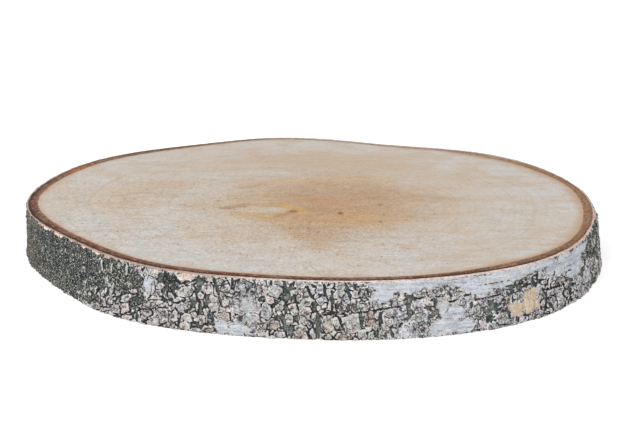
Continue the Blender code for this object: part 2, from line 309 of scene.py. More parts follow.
# Plates: angle, height, half width, half height, lean to the left in degrees, and tone,
# which runs from 0, lavender white, by grey, cream and pink to 1, orange tan
PLATES = (
    (-102.2, 15.4, 5.6, 5.6, 8, 0.24), (-101.6, 9.4, 5, 3.6, 0, 0.28), (-98.4, 13, 2.6, 3.4, 10, 0.32),
    (-106.5, 8.6, 2.8, 1.5, 0, 0.93), (-109.5, 2.3, 2.6, 1.5, 0, 0.95), (-148.6, 25.2, 0.5, 1.6, 6, 0.6),
    (-148.2, 21.8, 0.5, 1.3, -4, 0.8), (-130.7, 13, 0.7, 3.2, -16, 0.8),
    (-135.6, 9.6, 0.6, 2.2, -10, 0.9), (-132.5, 12.6, 0.6, 2.4, -12, 0.75),
    (-120.3, 26.4, 0.9, 0.8, 0, 1), (-134.1, 5.4, 0.6, 2, -10, 0.95), (-134.2, 23.4, 0.6, 3.1, 6, 0.6),
    (-131.3, 23.5, 0.5, 2, 12, 0.5), (-129.5, 25.2, 1, 1.3, 0, 0.3), (-132.4, 16.4, 0.9, 2.2, -5, 0.65),
    (-133.4, 9, 0.7, 3, -22, 0.55), (-131.2, 7.4, 1.9, 2, 0, 0.5), (-129.6, 3.9, 2.6, 1.6, 8, 0.6),
    (-130.8, 1.2, 3, 0.8, 8, 0.6), (-137.4, 6.6, 1.6, 0.8, 15, 0.4), (-134.4, 2.6, 1.4, 1.2, 0, 0.85),
    (-127.3, 24.2, 1, 2.4, 0, 0.35), (-126.2, 17.6, 1.8, 0.9, -25, 0.7), (-125.2, 15, 1.8, 0.8, 12, 0.65),
    (-126.4, 11.9, 3.6, 0.9, 22, 0.7), (-127.2, 9.3, 2.2, 0.7, 10, 0.5),
    (-127.1, 6.2, 1.9, 1.9, 10, 0.75), (-126.6, 1.4, 2.8, 0.9, 8, 0.55), (-121.3, 18.4, 2, 2.9, 5, 0.05),
    (-122.6, 24.2, 1, 2.6, 20, 0.3), (-121.6, 22.7, 1.4, 0.9, 0, 0.2), (-119.3, 20, 1.9, 1, 28, 0.5),
    (-121.2, 10.3, 5, 1.5, 25, 0.55), (-120.2, 14, 2.6, 0.8, 8, 0.75), (-122, 6.2, 2.7, 1.8, 0, 0.25),
    (-118.5, 6.1, 2.4, 3, 0, 0.45), (-120.7, 1.4, 3.2, 0.9, 0, 0.75), (-117.4, 1.8, 1.2, 0.9, 20, 0.2),
    (-117.2, 12.6, 0.7, 1, 0, 0.6), (-116.9, 16.2, 1.7, 0.9, -45, 0.65), (-114, 19, 4.6, 2, 28, 0.48),
    (-115.6, 15, 2.6, 0.9, 15, 0.6), (-115, 11.3, 1.9, 2.1, -12, 0.4), (-116.2, 6.5, 1.5, 2.6, -8, 0.45),
    (-116.7, 1.6, 1.3, 1, 0, 0.2), (-113.6, 6.4, 2.3, 1.8, -10, 0.7), (-114.3, 2.4, 2.4, 1.7, 0, 0.7),
    (-112.7, 23.4, 1.8, 0.6, 35, 0.5), (-109.6, 21.7, 2.6, 2.4, -15, 0.5),
    (-109.4, 25.8, 2, 0.9, 5, 0.35), (-107.1, 25.4, 2.4, 1.1, 12, 0.3), (-106.1, 22.5, 2.2, 1.3, 18, 0.5),
    (-108.5, 17, 1.8, 1.6, -20, 0.68), (-108.4, 13.2, 2, 2.1, 0, 0.6), (-111, 17.9, 1.7, 1.3, -30, 0.5),
    (-111.7, 12.6, 0.5, 2.2, 0, 0.5), (-110.6, 14.3, 0.5, 1.6, 10, 0.35),
    (-112.2, 8.4, 1.3, 1.3, -20, 0.4), (-110, 8.8, 0.5, 3.6, 12, 0.6), (-110.6, 6.3, 1.7, 1.8, 0, 0.55),
    (-113.5, 9.6, 0.7, 0.6, 0, 0.5), (-102.6, 23.4, 4, 3.2, -10, 0.15), (-99.9, 22.2, 1.9, 2.3, 0, 0.3),
    (-99.2, 26, 1.6, 1.1, 0, 0.4), (-96.7, 22.5, 3.4, 3, -8, 0.45), (-96.4, 26.8, 2.3, 0.9, 0, 0.05),
    (-97.8, 18.2, 1.7, 1.9, 0, 0.68), (-95.9, 14.9, 1.6, 1.3, 0, 0.68), (-95.9, 12.3, 1, 0.7, 0, 0.5),
    (-94.2, 9.2, 1.9, 2.2, 0, 0.45), (-96.8, 6.4, 2, 1.9, 0, 0.82), (-99.1, 2.2, 2.6, 1.3, 0, 0.6),
    (-95.9, 2, 2.4, 1.2, 0, 0.5), (-104.6, 19.6, 1.2, 2.2, 25, 0.3), (-93.3, 14.2, 1.5, 2.5, 8, 0.5),
    (-92.2, 26, 2, 1.6, 0, 0.35), (-92.3, 19.8, 1, 1.5, 0, 0.6), (-91.4, 22.4, 1.8, 1.5, 10, 0.72),
    (-88.5, 24.4, 1.3, 2.9, 4, 0.05), (-88.9, 21.5, 1.8, 0.9, 35, 0.6), (-88.2, 18.9, 1.9, 1.6, 15, 0.3),
    (-87.7, 16.9, 1, 1.6, -15, 0.6), (-88.7, 15.2, 0.9, 1.3, 0, 0.78), (-88.3, 13.7, 1.4, 0.7, 25, 0.5),
    (-91.6, 8.8, 1.7, 1.9, 0, 0.55), (-92, 5.4, 2.7, 1.3, -5, 0.45), (-92.1, 1.9, 3.4, 1.8, 0, 0.9),
    (-90.4, 7, 1, 1.6, 0, 0.1), (-89.7, 2.6, 1, 2.3, 15, 0.35), (-89.6, 10.8, 0.8, 1.9, -15, 0.75),
    (-87.1, 8, 2.5, 3.6, 8, 0.84), (-85.6, 8.6, 1.5, 2.6, 15, 0.55), (-86.9, 22.6, 0.9, 2, 15, 0.45),
    (-86.6, 25.6, 1.9, 0.8, 20, 0.1), (-85, 22.2, 2.7, 1.6, 25, 0.45), (-84.8, 25.8, 2.4, 1.2, 8, 0.25),
    (-84.5, 15, 1.8, 1.4, 5, 0.45), (-84.9, 12.4, 2.2, 0.5, -15, 0.5), (-82.7, 8.2, 3.4, 3.9, 0, 0.5),
    (-84.2, 1.7, 3, 1.5, 0, 0.92), (-87, 1.6, 1.5, 1.2, 0, 0.68), (-82.4, 18.6, 0.9, 1.2, 0, 0.05),
    (-82.3, 15.2, 1, 1.6, 0, 0.55), (-80.9, 26.6, 2.2, 0.5, 5, 0.4), (-80.9, 25.2, 2, 0.5, 5, 0.7),
    (-80.7, 22.3, 1.4, 1.6, 0, 0.25), (-80.9, 19.6, 1.8, 0.6, 0, 0.6), (-80.7, 15.9, 2.3, 1.5, -5, 0.45),
    (-78.3, 17.6, 1.7, 2, -5, 0.1), (-76, 18.2, 2.6, 1.2, 8, 0.2), (-79.4, 10.4, 2, 3, -12, 1.1),
    (-78.6, 12.3, 1.1, 1.5, 0, 0.62), (-78.5, 6.4, 1.2, 1.4, 0, 0.55), (-79.4, 2.2, 1, 2, -8, 0.45),
    (-80.9, 2.6, 1.6, 2.4, 0, 0.35), (-76.1, 13, 1.5, 1.8, 0, 0.35), (-74.4, 10.6, 1.7, 5, -28, 0.05),
    (-76.7, 8.9, 1, 1.5, 0, 0.68), (-77, 3.4, 2.5, 2, 20, 0.5), (-74.7, 2.4, 1, 1.5, 0, 0.3),
    (-73, 4.3, 1.7, 2.8, 0, 0.1), (-70.6, 15, 2.3, 3.2, 0, 0.05), (-71, 4.5, 3.2, 3.6, 0, 0.2),
    (-70.4, 21.5, 1.8, 1, 10, 0.7), (-63.4, 20.8, 2, 1.3, 15, 0.4), (-66.2, 17.6, 1.6, 1.4, -20, 0.78),
    (-62.3, 17.5, 2, 0.6, 8, 0.6), (-60.3, 10, 1.8, 1.8, 0, 0.3), (-59.2, 14.6, 2.2, 1.2, 0, 0.1),
    (-54, 12.2, 0.8, 3, 0, 1.2), (-52.4, 12.4, 1, 1.4, 0, 0.7), (-58.9, 5.4, 1, 1.6, 0, 0.6),
    (-55, 5.6, 2.3, 2.2, 0, 0.42), (-54.8, 11, 1.1, 2.2, 0, 0.25), (-51.9, 14, 2.6, 1.6, -10, 0.3),
    (-49.2, 17, 1.2, 0.9, 0, 0.55), (-45.5, 17.3, 1.8, 0.9, -8, 0.4), (-43.4, 10.6, 1.4, 1.4, 0, 0.3),
    (-42, 10.5, 1.6, 1.5, 0, 0.15), (-44.3, 10.6, 0.6, 1.5, 0, 0.45), (-40.3, 10.2, 0.6, 1.5, 0, 0.45),
    (-42.7, 14.4, 1.9, 1.2, -20, 0.68), (-43.2, 6.5, 1.7, 1.8, 0, 0.15), (-41.2, 7, 1.7, 1.5, 0, 0.2),
    (-44.4, 4.8, 0.7, 1.2, 20, 0.45), (-38.8, 7.2, 1.4, 1.6, 0, 0.3), (-38, 5.8, 0.5, 2.2, 0, 0.45),
    (-39.8, 2.6, 1, 0.7, -20, 0.6), (-38.7, 11, 0.7, 1.3, 0, 0.4), (-39.8, 17.8, 2.2, 1.3, -10, 0.15),
    (-33.6, 18.2, 2.6, 1, -14, 0.7), (-68.6, 6.6, 1.6, 2, 0, 0.02), (-69, 2, 2, 1.6, 0, 0.05),
    (-75.6, 8.2, 1, 2, 0, 0.1), (-62.6, 14.6, 1.4, 2.6, 0, 0.04), (-60.4, 13, 1, 2, 0, 0.05),
    (-63, 19, 1.4, 1, 0, 0.02), (-31, 9, 2, 3, 0, 0.1), (-28.9, 8.6, 1.4, 3.6, 0, 0.05),
    (-28.4, 15, 1.2, 2.2, 0, 0.4), (-30.6, 21.6, 0.5, 3.2, 4, 0.3), (-27.8, 21.6, 0.5, 3.6, -4, 0.3),
    (-25, 22, 0.5, 3, 0, 0.35), (-23, 19.4, 0.5, 3.6, 4, 0.4), (-20.8, 21, 0.5, 3, 0, 0.4),
    (-18.4, 13.8, 0.7, 3.6, -4, 0.3), (-22.6, 9.6, 0.5, 2.8, 6, 0.75), (-26, 11.4, 0.6, 2.4, 0, 0.5),
    (-27, 5, 0.8, 2, 10, 0.4), (-24.6, 5, 0.6, 1.6, 0, 0.55), (-20.2, 6.6, 0.6, 2.6, 0, 0.5),
    (-16.4, 20.4, 0.5, 3.4, 0, 0.35), (-15.6, 8.6, 0.6, 3, 0, 0.45), (-13.4, 15, 0.6, 3.4, 4, 0.4),
    (-10.8, 19, 0.5, 3.2, 0, 0.35), (-11.6, 6.4, 0.7, 2.8, 0, 0.6), (-8, 12.4, 0.6, 3.6, -4, 0.45),
    (-5.4, 19.6, 0.5, 3, 0, 0.3),
)

# Wide fissures between them: angle and height of both ends, and the width
FISSURES = (
    (-128.9, 26.4, -128.7, 21, 1.2), (-124.6, 26, -123.1, 20.6, 1), (-126.2, 9.8, -123.6, 11.4, 2.4),
    (-124.4, 1, -124, 5.4, 2), (-119.8, 21.8, -119.2, 26, 2), (-118.9, 17, -117.9, 19.2, 1.6),
    (-116.6, 19.5, -116.5, 16.8, 1.2), (-115, 22.4, -112.8, 25, 1), (-111.9, 26.8, -111.2, 20.5, 2.6),
    (-108.4, 26.8, -107.4, 19, 1.7), (-107.4, 19, -106.9, 14.5, 1.6), (-110.1, 19.6, -109.6, 12.5, 1.2),
    (-109.3, 11, -108.4, 6, 2), (-112.9, 17, -112.1, 20.5, 0.9), (-116, 12.6, -113.9, 15, 0.9),
    (-111.2, 14.5, -111, 10, 1.1), (-115.6, 1, -114.9, 7.6, 1.2), (-114.4, 8.8, -112.6, 10.8, 1.2),
    (-112.3, 5, -111.5, 3.6, 1.6), (-104.9, 27.2, -104.5, 22.4, 1.4), (-99.8, 17.8, -98.6, 19.4, 2.2),
    (-97, 19, -96.3, 16.8, 1.7), (-95, 26.8, -94.4, 17.8, 2), (-95.3, 12, -94.9, 5, 2),
    (-94, 6, -93.7, 0.8, 2.3), (-93.2, 22.5, -93.1, 18, 1), (-92.6, 16.6, -92.3, 13.6, 1),
    (-92.9, 11.6, -92.7, 8.2, 1.4), (-90.9, 25.6, -89.8, 20, 1.6), (-90, 26.6, -89.3, 25.6, 1.4),
    (-89.8, 18.2, -89.5, 14, 1.6), (-88.9, 12.2, -88.8, 0.6, 2.6), (-90.5, 5.2, -90.3, 0.6, 0.8),
    (-87.5, 27, -87.5, 19.6, 0.9), (-86.3, 24.2, -86.2, 14, 1.4), (-85.6, 18, -85.4, 13.8, 0.9),
    (-87.6, 13.2, -85.7, 13.4, 0.9), (-85, 10.5, -84.3, 6, 0.8), (-84.3, 6, -83.9, 4.2, 0.6),
    (-83.7, 27, -83.1, 20.2, 1.6), (-83.4, 17.4, -83.2, 13.6, 1.5), (-81.2, 14, -81, 6, 2),
    (-80, 24.6, -79.7, 20.6, 1.1), (-77.6, 13.5, -77.8, 5.6, 1.5), (-78, 5.6, -78.7, 0.6, 1.3),
    (-79.8, 5, -79.9, 0.6, 0.6), (-75.8, 5, -75.4, 1, 1.4), (-75, 4.9, -73.3, 9, 0.9),
    (-73.3, 9, -72.2, 10.8, 1.3), (-72.7, 21.8, -72.5, 10, 2.1), (-69.3, 23.6, -69.2, 21, 0.8),
    (-68.7, 24.6, -68.1, 21.4, 0.9), (-66.8, 23.2, -66.6, 21.4, 1.4), (-66, 23.8, -65.4, 23.6, 1),
    (-65.5, 22, -64.9, 18.6, 1.4), (-68, 17.4, -67.2, 10, 1.8), (-67.8, 9.4, -66.6, 9.2, 1.2),
    (-69.8, 14.2, -68.6, 14.6, 1.6), (-69.3, 9.8, -68, 9.6, 0.8), (-65.4, 15.2, -64.8, 14, 1.1),
    (-64.2, 22.2, -63.4, 22.8, 0.8), (-63.4, 22.8, -62.2, 23.2, 0.7), (-61.4, 15.5, -61.2, 12, 1.1),
    (-58.6, 12, -58, 11.2, 1.2), (-60.5, 7.5, -59.2, 7.1, 0.7), (-59.9, 7, -59.7, 3.2, 0.9),
    (-57.7, 13.5, -57.3, 3.6, 2.2), (-56.4, 13, -56.2, 9.5, 1.1), (-56.5, 3, -55.6, 1.4, 1.2),
    (-53.7, 7.6, -53.5, 3, 1), (-52.2, 4.6, -51.6, 1.2, 2.2), (-50.2, 3, -50, 1, 1.8),
    (-52.6, 21.4, -52.3, 19.2, 1.1), (-52.1, 18.6, -51.1, 16.4, 1.6), (-53.4, 19.2, -53, 17, 1),
    (-49.8, 18.8, -48.7, 18, 1.1), (-48.2, 19, -47.7, 15.8, 1.9), (-48.2, 21.8, -47, 22.4, 1.2),
    (-46.2, 14.4, -45.4, 12.6, 1.4), (-44.9, 12, -44.8, 8, 1.1), (-45.6, 6, -44.9, 3, 2),
    (-42.2, 8.6, -42.1, 5.5, 0.9), (-41.9, 15.4, -41.2, 13, 1.4), (-40.1, 9, -39.7, 5.4, 1.2),
    (-39.2, 15.6, -38.9, 12.4, 1.3), (-37.9, 9.2, -37.2, 3.4, 1.8), (-38, 14.6, -36.4, 11.4, 2),
    (-41.8, 5, -41.9, 1.6, 1.1), (-36.2, 9, -35.8, 3, 1.6), (-31.7, 23.4, -31.8, 17.6, 0.9),
    (-29.4, 19.6, -29.2, 15, 1), (-26.3, 22.6, -26.2, 13.6, 1.1), (-24.2, 20.8, -23.9, 14.4, 0.9),
    (-22, 18, -21.9, 11.4, 1), (-25.4, 9.6, -25, 3, 0.9), (-20, 14, -19.6, 6, 1),
    (-17.4, 22, -17.2, 14, 1),
)

# Thin cracks, given in the same way
CRACKS = (
    (-88.6, 12.6, -83, 12.9, 0.45), (-82.6, 12.9, -79, 14.2, 0.6), (-79.6, 14, -74, 16, 0.8),
    (-77.3, 18.2, -77.4, 15.6, 0.7), (-79.1, 18.6, -79.1, 14.4, 0.6), (-76.4, 6.2, -75.4, 5.6, 0.6),
    (-63.6, 18.2, -60.8, 19, 0.7), (-61, 16.3, -58, 16.2, 0.6), (-58.2, 16.2, -54.9, 16.7, 0.8),
    (-60.6, 22.9, -53, 22.2, 0.3), (-51.4, 20, -48.6, 21.4, 0.5), (-49.8, 22.8, -46.8, 24, 0.4),
    (-71.4, 19.2, -69.8, 19.4, 0.8), (-68, 19.2, -66, 19, 0.6), (-65.6, 16.4, -63.4, 17, 0.8),
    (-56, 8.1, -53.9, 7.8, 0.7), (-57.6, 1.6, -53, 1.4, 0.6), (-60.8, 1.2, -59.4, 1.1, 0.5),
    (-99, 3.9, -95, 3.8, 0.5), (-100.3, 7.6, -99.2, 4.8, 0.6), (-102, 2.2, -100.3, 2.6, 0.4),
    (-104.2, 21.6, -103.4, 20, 0.7), (-103.4, 20, -101.4, 19.6, 0.4), (-104.4, 26.2, -103.2, 27.6, 0.8),
    (-101, 27.4, -100.4, 25.8, 0.7), (-100.4, 25.8, -100.7, 23.4, 0.8), (-98.2, 27.2, -97.4, 25.4, 0.6),
    (-95, 22.6, -96.2, 19.2, 0.7), (-96.2, 19.2, -97.8, 20.4, 0.5), (-110.2, 24.6, -112, 26.8, 0.5),
    (-105.6, 26.6, -107, 24.2, 0.8), (-106.2, 18.4, -104.8, 18.6, 0.5), (-99.8, 14.8, -97.8, 14.6, 0.4),
    (-81.6, 25.8, -80.2, 26, 0.3), (-46.4, 18.8, -45, 18.5, 0.5), (-43.8, 9.2, -42, 9, 0.5),
    (-42.6, 12.6, -41, 12.3, 0.6), (-42.7, 21.4, -42.7, 19, 0.9), (-40, 20.8, -36, 20.2, 0.4),
    (-39.6, 9.2, -38.2, 8.7, 0.8), (-38.8, 18.6, -37, 17.8, 0.6), (-30, 24.6, -26, 24, 0.5),
    (-32, 21.8, -27, 19.6, 0.7), (24, 19, 37, 18.2, 0.6), (48, 22.6, 66, 21.4, 0.6),
    (58, 15.6, 72, 16.2, 0.5), (118, 20, 133, 21.6, 0.6), (130, 16, 141, 15, 0.5),
)

# Stretches of the side, each by its middle and half width in degrees: calm ones, where the fissures are
# shallow and narrow, each with its strength, and one where the plates break into shards, one where they
# are bluer, one where the saw has torn the rim and one where the rim is sound
CALM_STRETCHES = ((0.85, -66, 13), (0.25, -102, 4))
CRAZED_STRETCH = (-36, 12)
BLUISH_STRETCH = (-56, 22)
TORN_STRETCH = (-140, 34)
SOUND_STRETCH = (-20, 30)

# How closely the edges of spots, of strokes and of listed plates follow the shards
SPOT_SNAP, STROKE_SNAP, PLATE_SNAP = 0.6, 0.2, 0.12

DEGREE = math.radians(1.0) * MEAN_RADIUS / MM


class Side:
    """What the bark is like at each of many places on its side. Lengths in it are in millimetres,
    but for the places themselves and their offsets within a shard."""

    def __init__(self, angle, height):
        self.angle = angle
        self.across = np.radians(angle % 360.0) * MEAN_RADIUS
        self.up = height
        self.ragged = self.rough(5.0, 31)
        self.fine = self.rough(1.6, 41)
        bent_across = self.across + SHARD_WANDER * self.rough(2.6, 181)
        bent_up = height + SHARD_WANDER * self.rough(2.6, 191)
        self.shard_edge, self.shard, self.shard_x, self.shard_y = broken_into_plates(
            bent_across, bent_up, SHARD_WIDTH, SHARD_HEIGHT, 201)
        self.paper = self.within(PAPER_SPOTS)
        self.moss = self.within(MOSS_SPOTS) * (1.0 - self.paper)
        self.damp = self.within(DAMP_SPOTS)
        self.open = self.within(OPEN_SPOTS)
        self.peach = self.within(PEACH_SPOTS)
        self.scar = self.within(SCAR_SPOTS)
        self.crack = self.off_strokes(CRACKS)
        self.calm = sum(share * hump(angle, middle, half) for share, middle, half in CALM_STRETCHES)
        self.cut_into_plates()
        self.chip_the_rims()
        self.shape()

    def rough(self, grain, draw, tall=1.0):
        """Rough noise at each place, its grain in millimetres."""
        return rough_noise(self.across, self.up, grain * MM, draw, tall)

    def offsets(self, middle, height, reach, snap):
        """Which places lie near a spot, and how far right of it and above it they are, each place drawn
        towards the middle of its shard by snap, so that edges follow the shards."""
        turn = turn_between(self.angle, middle)
        near = np.nonzero(np.abs(turn) * DEGREE < reach)[0]
        right = turn[near] * DEGREE - snap * self.shard_x[near] / MM
        return near, right, self.up[near] / MM - height - snap * self.shard_y[near] / MM

    def within(self, spots):
        """1 inside any of the spots and 0 outside, with ragged edges."""
        inside = np.zeros(self.angle.shape)
        for middle, height, half_turn, half_height in spots:
            near, right, above = self.offsets(middle, height, half_turn * DEGREE * 1.6, SPOT_SNAP)
            reach = np.hypot(right / half_turn / DEGREE, above / half_height)
            reach += 0.42 * self.ragged[near] + 0.16 * self.fine[near]
            inside[near] = np.maximum(inside[near], 1.0 - ease(0.86, 1.1, reach))
        return inside

    def off_strokes(self, strokes):
        """How far off the edge of the nearest stroke each place is, less than 0 inside it."""
        away = np.full(self.angle.shape, 9.0)
        for first, first_height, last, last_height, width in strokes:
            along, rise = (last - first) * DEGREE, last_height - first_height
            near, right, above = self.offsets((first + last) / 2.0, (first_height + last_height) / 2.0,
                                              abs(along) / 2.0 + width + 4.0, STROKE_SNAP)
            above = above - 0.4 * self.ragged[near] - 0.25 * self.fine[near]
            right = right + 0.4 * self.ragged[near] - 0.25 * self.fine[near]
            part = np.clip((right * along + above * rise) / (along ** 2 + rise ** 2), -0.5, 0.5)
            half = width / 2.0 * np.sqrt(np.clip(1.0 - 3.4 * part ** 2, 0.05, 1.0))
            off = np.hypot(right - part * along, above - part * rise) - half
            away[near] = np.minimum(away[near], off)
        return away

    def on_plates(self):
        """How far inside the edge of the nearest listed plate each place is, and that plate's tone.
        A plate is an uneven polygon, and a thin gap parts it from the next one."""
        inside = np.full(self.angle.shape, -9.0)
        second = np.full(self.angle.shape, -9.0)
        tone_here = np.full(self.angle.shape, 0.5)
        for number, (middle, height, half_width, half_height, lean, own_tone) in enumerate(PLATES):
            near, right, above = self.offsets(middle, height, half_width + half_height + 3.0, PLATE_SNAP)
            cos, sin = math.cos(math.radians(lean)), math.sin(math.radians(lean))
            long = (right * cos + above * sin) / half_width
            wide = (above * cos - right * sin) / half_height
            reach = np.full(long.shape, -9.0)
            sides = 4 + number % 3
            for side in range(sides):
                way = 2.0 * math.pi * (side + 0.3 * chance(number, side, 9)) / sides
                off = 0.2 * (chance(number, side, 10) - 0.5)
                reach = np.maximum(reach, long * math.cos(way) + wide * math.sin(way) + off)
            deep = (1.12 - reach) * min(half_width, half_height)
            deep += 0.25 * self.ragged[near] + 0.16 * self.fine[near]
            closer = deep > inside[near]
            second[near] = np.where(closer, inside[near], np.maximum(second[near], deep))
            tone_here[near] = np.where(closer, own_tone, tone_here[near])
            inside[near] = np.maximum(inside[near], deep)
        return np.minimum(inside, (inside - second) / 2.0 - 0.2), tone_here

    def cut_into_plates(self):
        """How far each place is inside the edge of its plate, less than 0 in a fissure, and that plate's
        tone, height and tilt."""
        across = self.across + PLATE_WANDER * self.rough(6.0, 51) - 0.2 * self.shard_x
        up = self.up + PLATE_WANDER * self.rough(6.0, 61) - 0.2 * self.shard_y
        border, tint, off_x, off_y = broken_into_plates(across, up, PLATE_WIDTH, PLATE_HEIGHT, 71)
        wide = 0.35 * ease(-0.1, 0.7, self.rough(8.0, 91, 1.6)) * (1.0 - 0.7 * self.calm)
        sound = border / MM - (0.14 - 0.1 * self.calm + wide + 0.7 * self.open) + 0.2 * self.fine
        crazed = hump(self.angle, *CRAZED_STRETCH)
        split = self.shard_edge / MM - 0.12 - 0.4 * self.open * (1.0 - 0.6 * crazed) + 0.1 * self.fine
        few = 0.06 * (1.0 - self.calm) + 0.3 * self.open + 0.4 * crazed
        split = np.where(self.shard < few, split, 1.0)
        loose = np.minimum(sound, split + 0.06)
        inside, plate_tone = self.on_plates()
        chipped = (self.shard < 0.04 + 0.35 * crazed) & (inside > 0.0)
        inside = np.where(chipped, np.minimum(inside, split + 0.1), inside)
        listed = ease(-0.3, 0.1, inside)
        self.moss = self.moss * (1.0 - 0.9 * ease(-0.2, 0.2, inside))
        self.tint = blend(listed, tint * (0.75 - 0.45 * hump(self.angle, *BLUISH_STRETCH)), plate_tone)
        self.tint += 0.12 * (self.shard - 0.5)
        self.lift = tint
        self.edge = np.maximum(inside + 0.1 * self.calm, np.minimum(loose, -inside - 0.5 + 0.4 * self.calm))
        self.edge = np.minimum(self.edge, np.maximum(self.off_strokes(FISSURES), -0.9))
        closed = np.maximum(self.paper, np.maximum(self.peach, self.scar))
        self.edge = blend(closed, self.edge, 1.6)
        lean_x, lean_y = self.leans(tint, 997, (3, 5), (4, 6))
        self.tilt = 0.1 * (off_x * lean_x + off_y * lean_y) / MM

    def leans(self, own, spread, *cells):
        """Two leanings from -1 to 1 for each plate or shard, told apart by its own draw."""
        return [2.0 * chance((own * spread).astype(int), row, draw) - 1.0 for row, draw in cells]

    def chip_the_rims(self):
        """Where the saw has broken the outermost layers off the top rim, and off the bottom one."""
        level = self.up * 0.0
        torn = rough_noise(self.across, level, 4.5 * MM, 151)
        worn = rough_noise(self.across, level, 5.0 * MM, 171)
        small = self.rough(1.1, 161)
        more, less = hump(self.angle, *TORN_STRETCH), hump(self.angle, *SOUND_STRETCH)
        depth = -0.05 + 1.6 * np.clip(torn + 0.1 * more - 0.1, 0.0, 1.0) + 0.35 * small - 0.5 * less
        under = -0.35 + 0.9 * np.clip(worn, 0.0, 1.0) + 0.3 * small
        self.chip = np.maximum(ease(0.25, -0.25, (THICKNESS - self.up) / MM - depth),
                               0.85 * ease(0.2, -0.2, self.up / MM - under))

    def shape(self):
        """How far the surface stands outside the plain side."""
        lean_x, lean_y = self.leans(self.shard, 9973, (5, 7), (5, 8))
        facet = 0.2 * (self.shard - 0.5) + 0.12 * (self.shard_x * lean_x + self.shard_y * lean_y) / MM
        crown = 0.15 * ease(0.0, 1.8, self.edge)
        plate = PLATE_SPREAD * (self.lift - 0.45) + crown + self.tilt + facet + 0.14 * self.fine
        groove = 0.3 * ease(-0.4, -0.9, self.edge)
        gap = FISSURE_RISE + 0.5 * self.calm - 0.35 * self.open + 0.4 * self.fine - groove
        rough = blend(ease(-0.4, 0.25, self.edge), gap, plate)
        lumps = noise(self.across, self.up, 1.5 * MM, 101)
        granular = MOSS_RISE + 0.35 * lumps + 0.25 * self.ragged + 0.25 * rough
        waves = noise(self.across, self.up, 14.0 * MM, 111, 0.3)
        smooth = PAPER_RISE + 0.2 * waves + 0.07 * self.fine
        relief = blend(self.moss, rough, granular)
        relief = blend(self.paper, relief, smooth)
        relief = blend(self.peach, relief, PEACH_RISE + 0.2 * self.fine)
        relief = blend(self.scar, relief, SCAR_RISE + 0.25 * self.fine)
        open_crack = CRACK_RISE + 1.4 * ease(-0.3, 0.2, self.crack) + 9.0 * ease(0.05, 0.3, self.crack)
        relief = np.minimum(relief, open_crack)
        relief = blend(self.chip, relief, CHIP_RISE + 0.2 * self.fine)
        near_top = ease(THICKNESS - 2.6 * MM, THICKNESS - 0.3 * MM, self.up)
        self.relief = relief * (1.0 - 0.5 * near_top)


# Making meshes

def rolled(profile, steps):
    """A grid rolled up round Z so that every ring of it follows one (radius, height) point of the
    profile, which closes on itself unless it starts on the axis."""
    gaps = len(profile) if profile[0][0] > 0.0 else len(profile) - 1
    shape = bmesh.new()
    bmesh.ops.create_grid(shape, x_segments=steps, y_segments=gaps, size=1.0)
    for corner in shape.verts:
        turn = corner.co.x * math.pi
        radius, height = profile[round((corner.co.y + 1.0) / 2.0 * gaps) % len(profile)]
        corner.co = (radius * math.cos(turn), radius * math.sin(turn), height)
    bmesh.ops.remove_doubles(shape, verts=shape.verts, dist=1e-6)
    bmesh.ops.recalc_face_normals(shape, faces=shape.faces)
    return shape


def make_object(name, shape, finish):
    """Turns a finished bmesh into an object of one finish."""
    mesh = bpy.data.meshes.new(name)
    shape.to_mesh(mesh)
    shape.free()
    mesh.materials.append(finish)
    piece = bpy.data.objects.new(name, mesh)
    bpy.context.scene.collection.objects.link(piece)
    return piece


def make_piece(name, shape, finish, node):
    """Turns a finished bmesh into a piece of the slice that rides on it and stands for a CAD node."""
    piece = make_object(name, shape, finish)
    piece.data.shade_smooth()
    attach(piece, "root")
    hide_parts(node)
    return piece


def corners_of(piece):
    """The corners of a piece as rolled: direction in degrees, radius and height of each."""
    places = np.empty(len(piece.data.vertices) * 3)
    piece.data.vertices.foreach_get("co", places)
    x, y, height = places.reshape(-1, 3).T
    return np.degrees(np.arctan2(y, x)), np.hypot(x, y), height


def place_corners(piece, angle, radius, height, sharp_angle):
    """Puts each corner at its direction, radius and height round the middle of the outline."""
    turn = np.radians(angle)
    x, y = MIDDLE[0] + radius * np.cos(turn), MIDDLE[1] + radius * np.sin(turn)
    places = np.stack([x, y, height], axis=1)
    piece.data.vertices.foreach_set("co", places.ravel())
    piece.data.update()
    piece.data.set_sharp_from_angle(angle=math.radians(sharp_angle))


def note(piece, **values):
    """Keeps a value for each corner of a piece, for its material to read."""
    for name, value in values.items():
        kept = piece.data.attributes.new(name, "FLOAT", "POINT")
        kept.data.foreach_set("value", np.ascontiguousarray(value, dtype=np.float32))


# Materials

def tone(red, green, blue):
    """A colour as a screen shows it, 0 to 255, as the light that a material reflects."""
    parts = [part / 255.0 for part in (red, green, blue)]
    return tuple(part / 12.92 if part <= 0.04045 else ((part + 0.055) / 1.055) ** 2.4
                 for part in parts) + (1.0,)


class Value:
    """A socket of a material. Sums and products of it add Math nodes."""

    def __init__(self, finish, socket):
        self.finish = finish
        self.socket = socket

    def math(self, operation, *terms):
        return self.finish.node("ShaderNodeMath", {"operation": operation}, dict(enumerate(terms)))

    def __add__(self, other):
        return self.math("ADD", self, other)

    def __mul__(self, other):
        return self.math("MULTIPLY", self, other)

    def __sub__(self, other):
        return self.math("SUBTRACT", self, other)

    def __rsub__(self, other):
        return self.math("SUBTRACT", other, self)

    def __truediv__(self, other):
        return self.math("DIVIDE", self, other)

    def __pow__(self, other):
        return self.math("POWER", self, other)

    def __abs__(self):
        return self.math("ABSOLUTE", self)

    __radd__ = __add__
    __rmul__ = __mul__

    def larger(self, other):
        """This value or the other one, whichever is more."""
        return self.math("MAXIMUM", self, other)

    def swing(self, reach):
        """How far the value is over a half, made as wide as reach."""
        return (self - 0.5) * reach


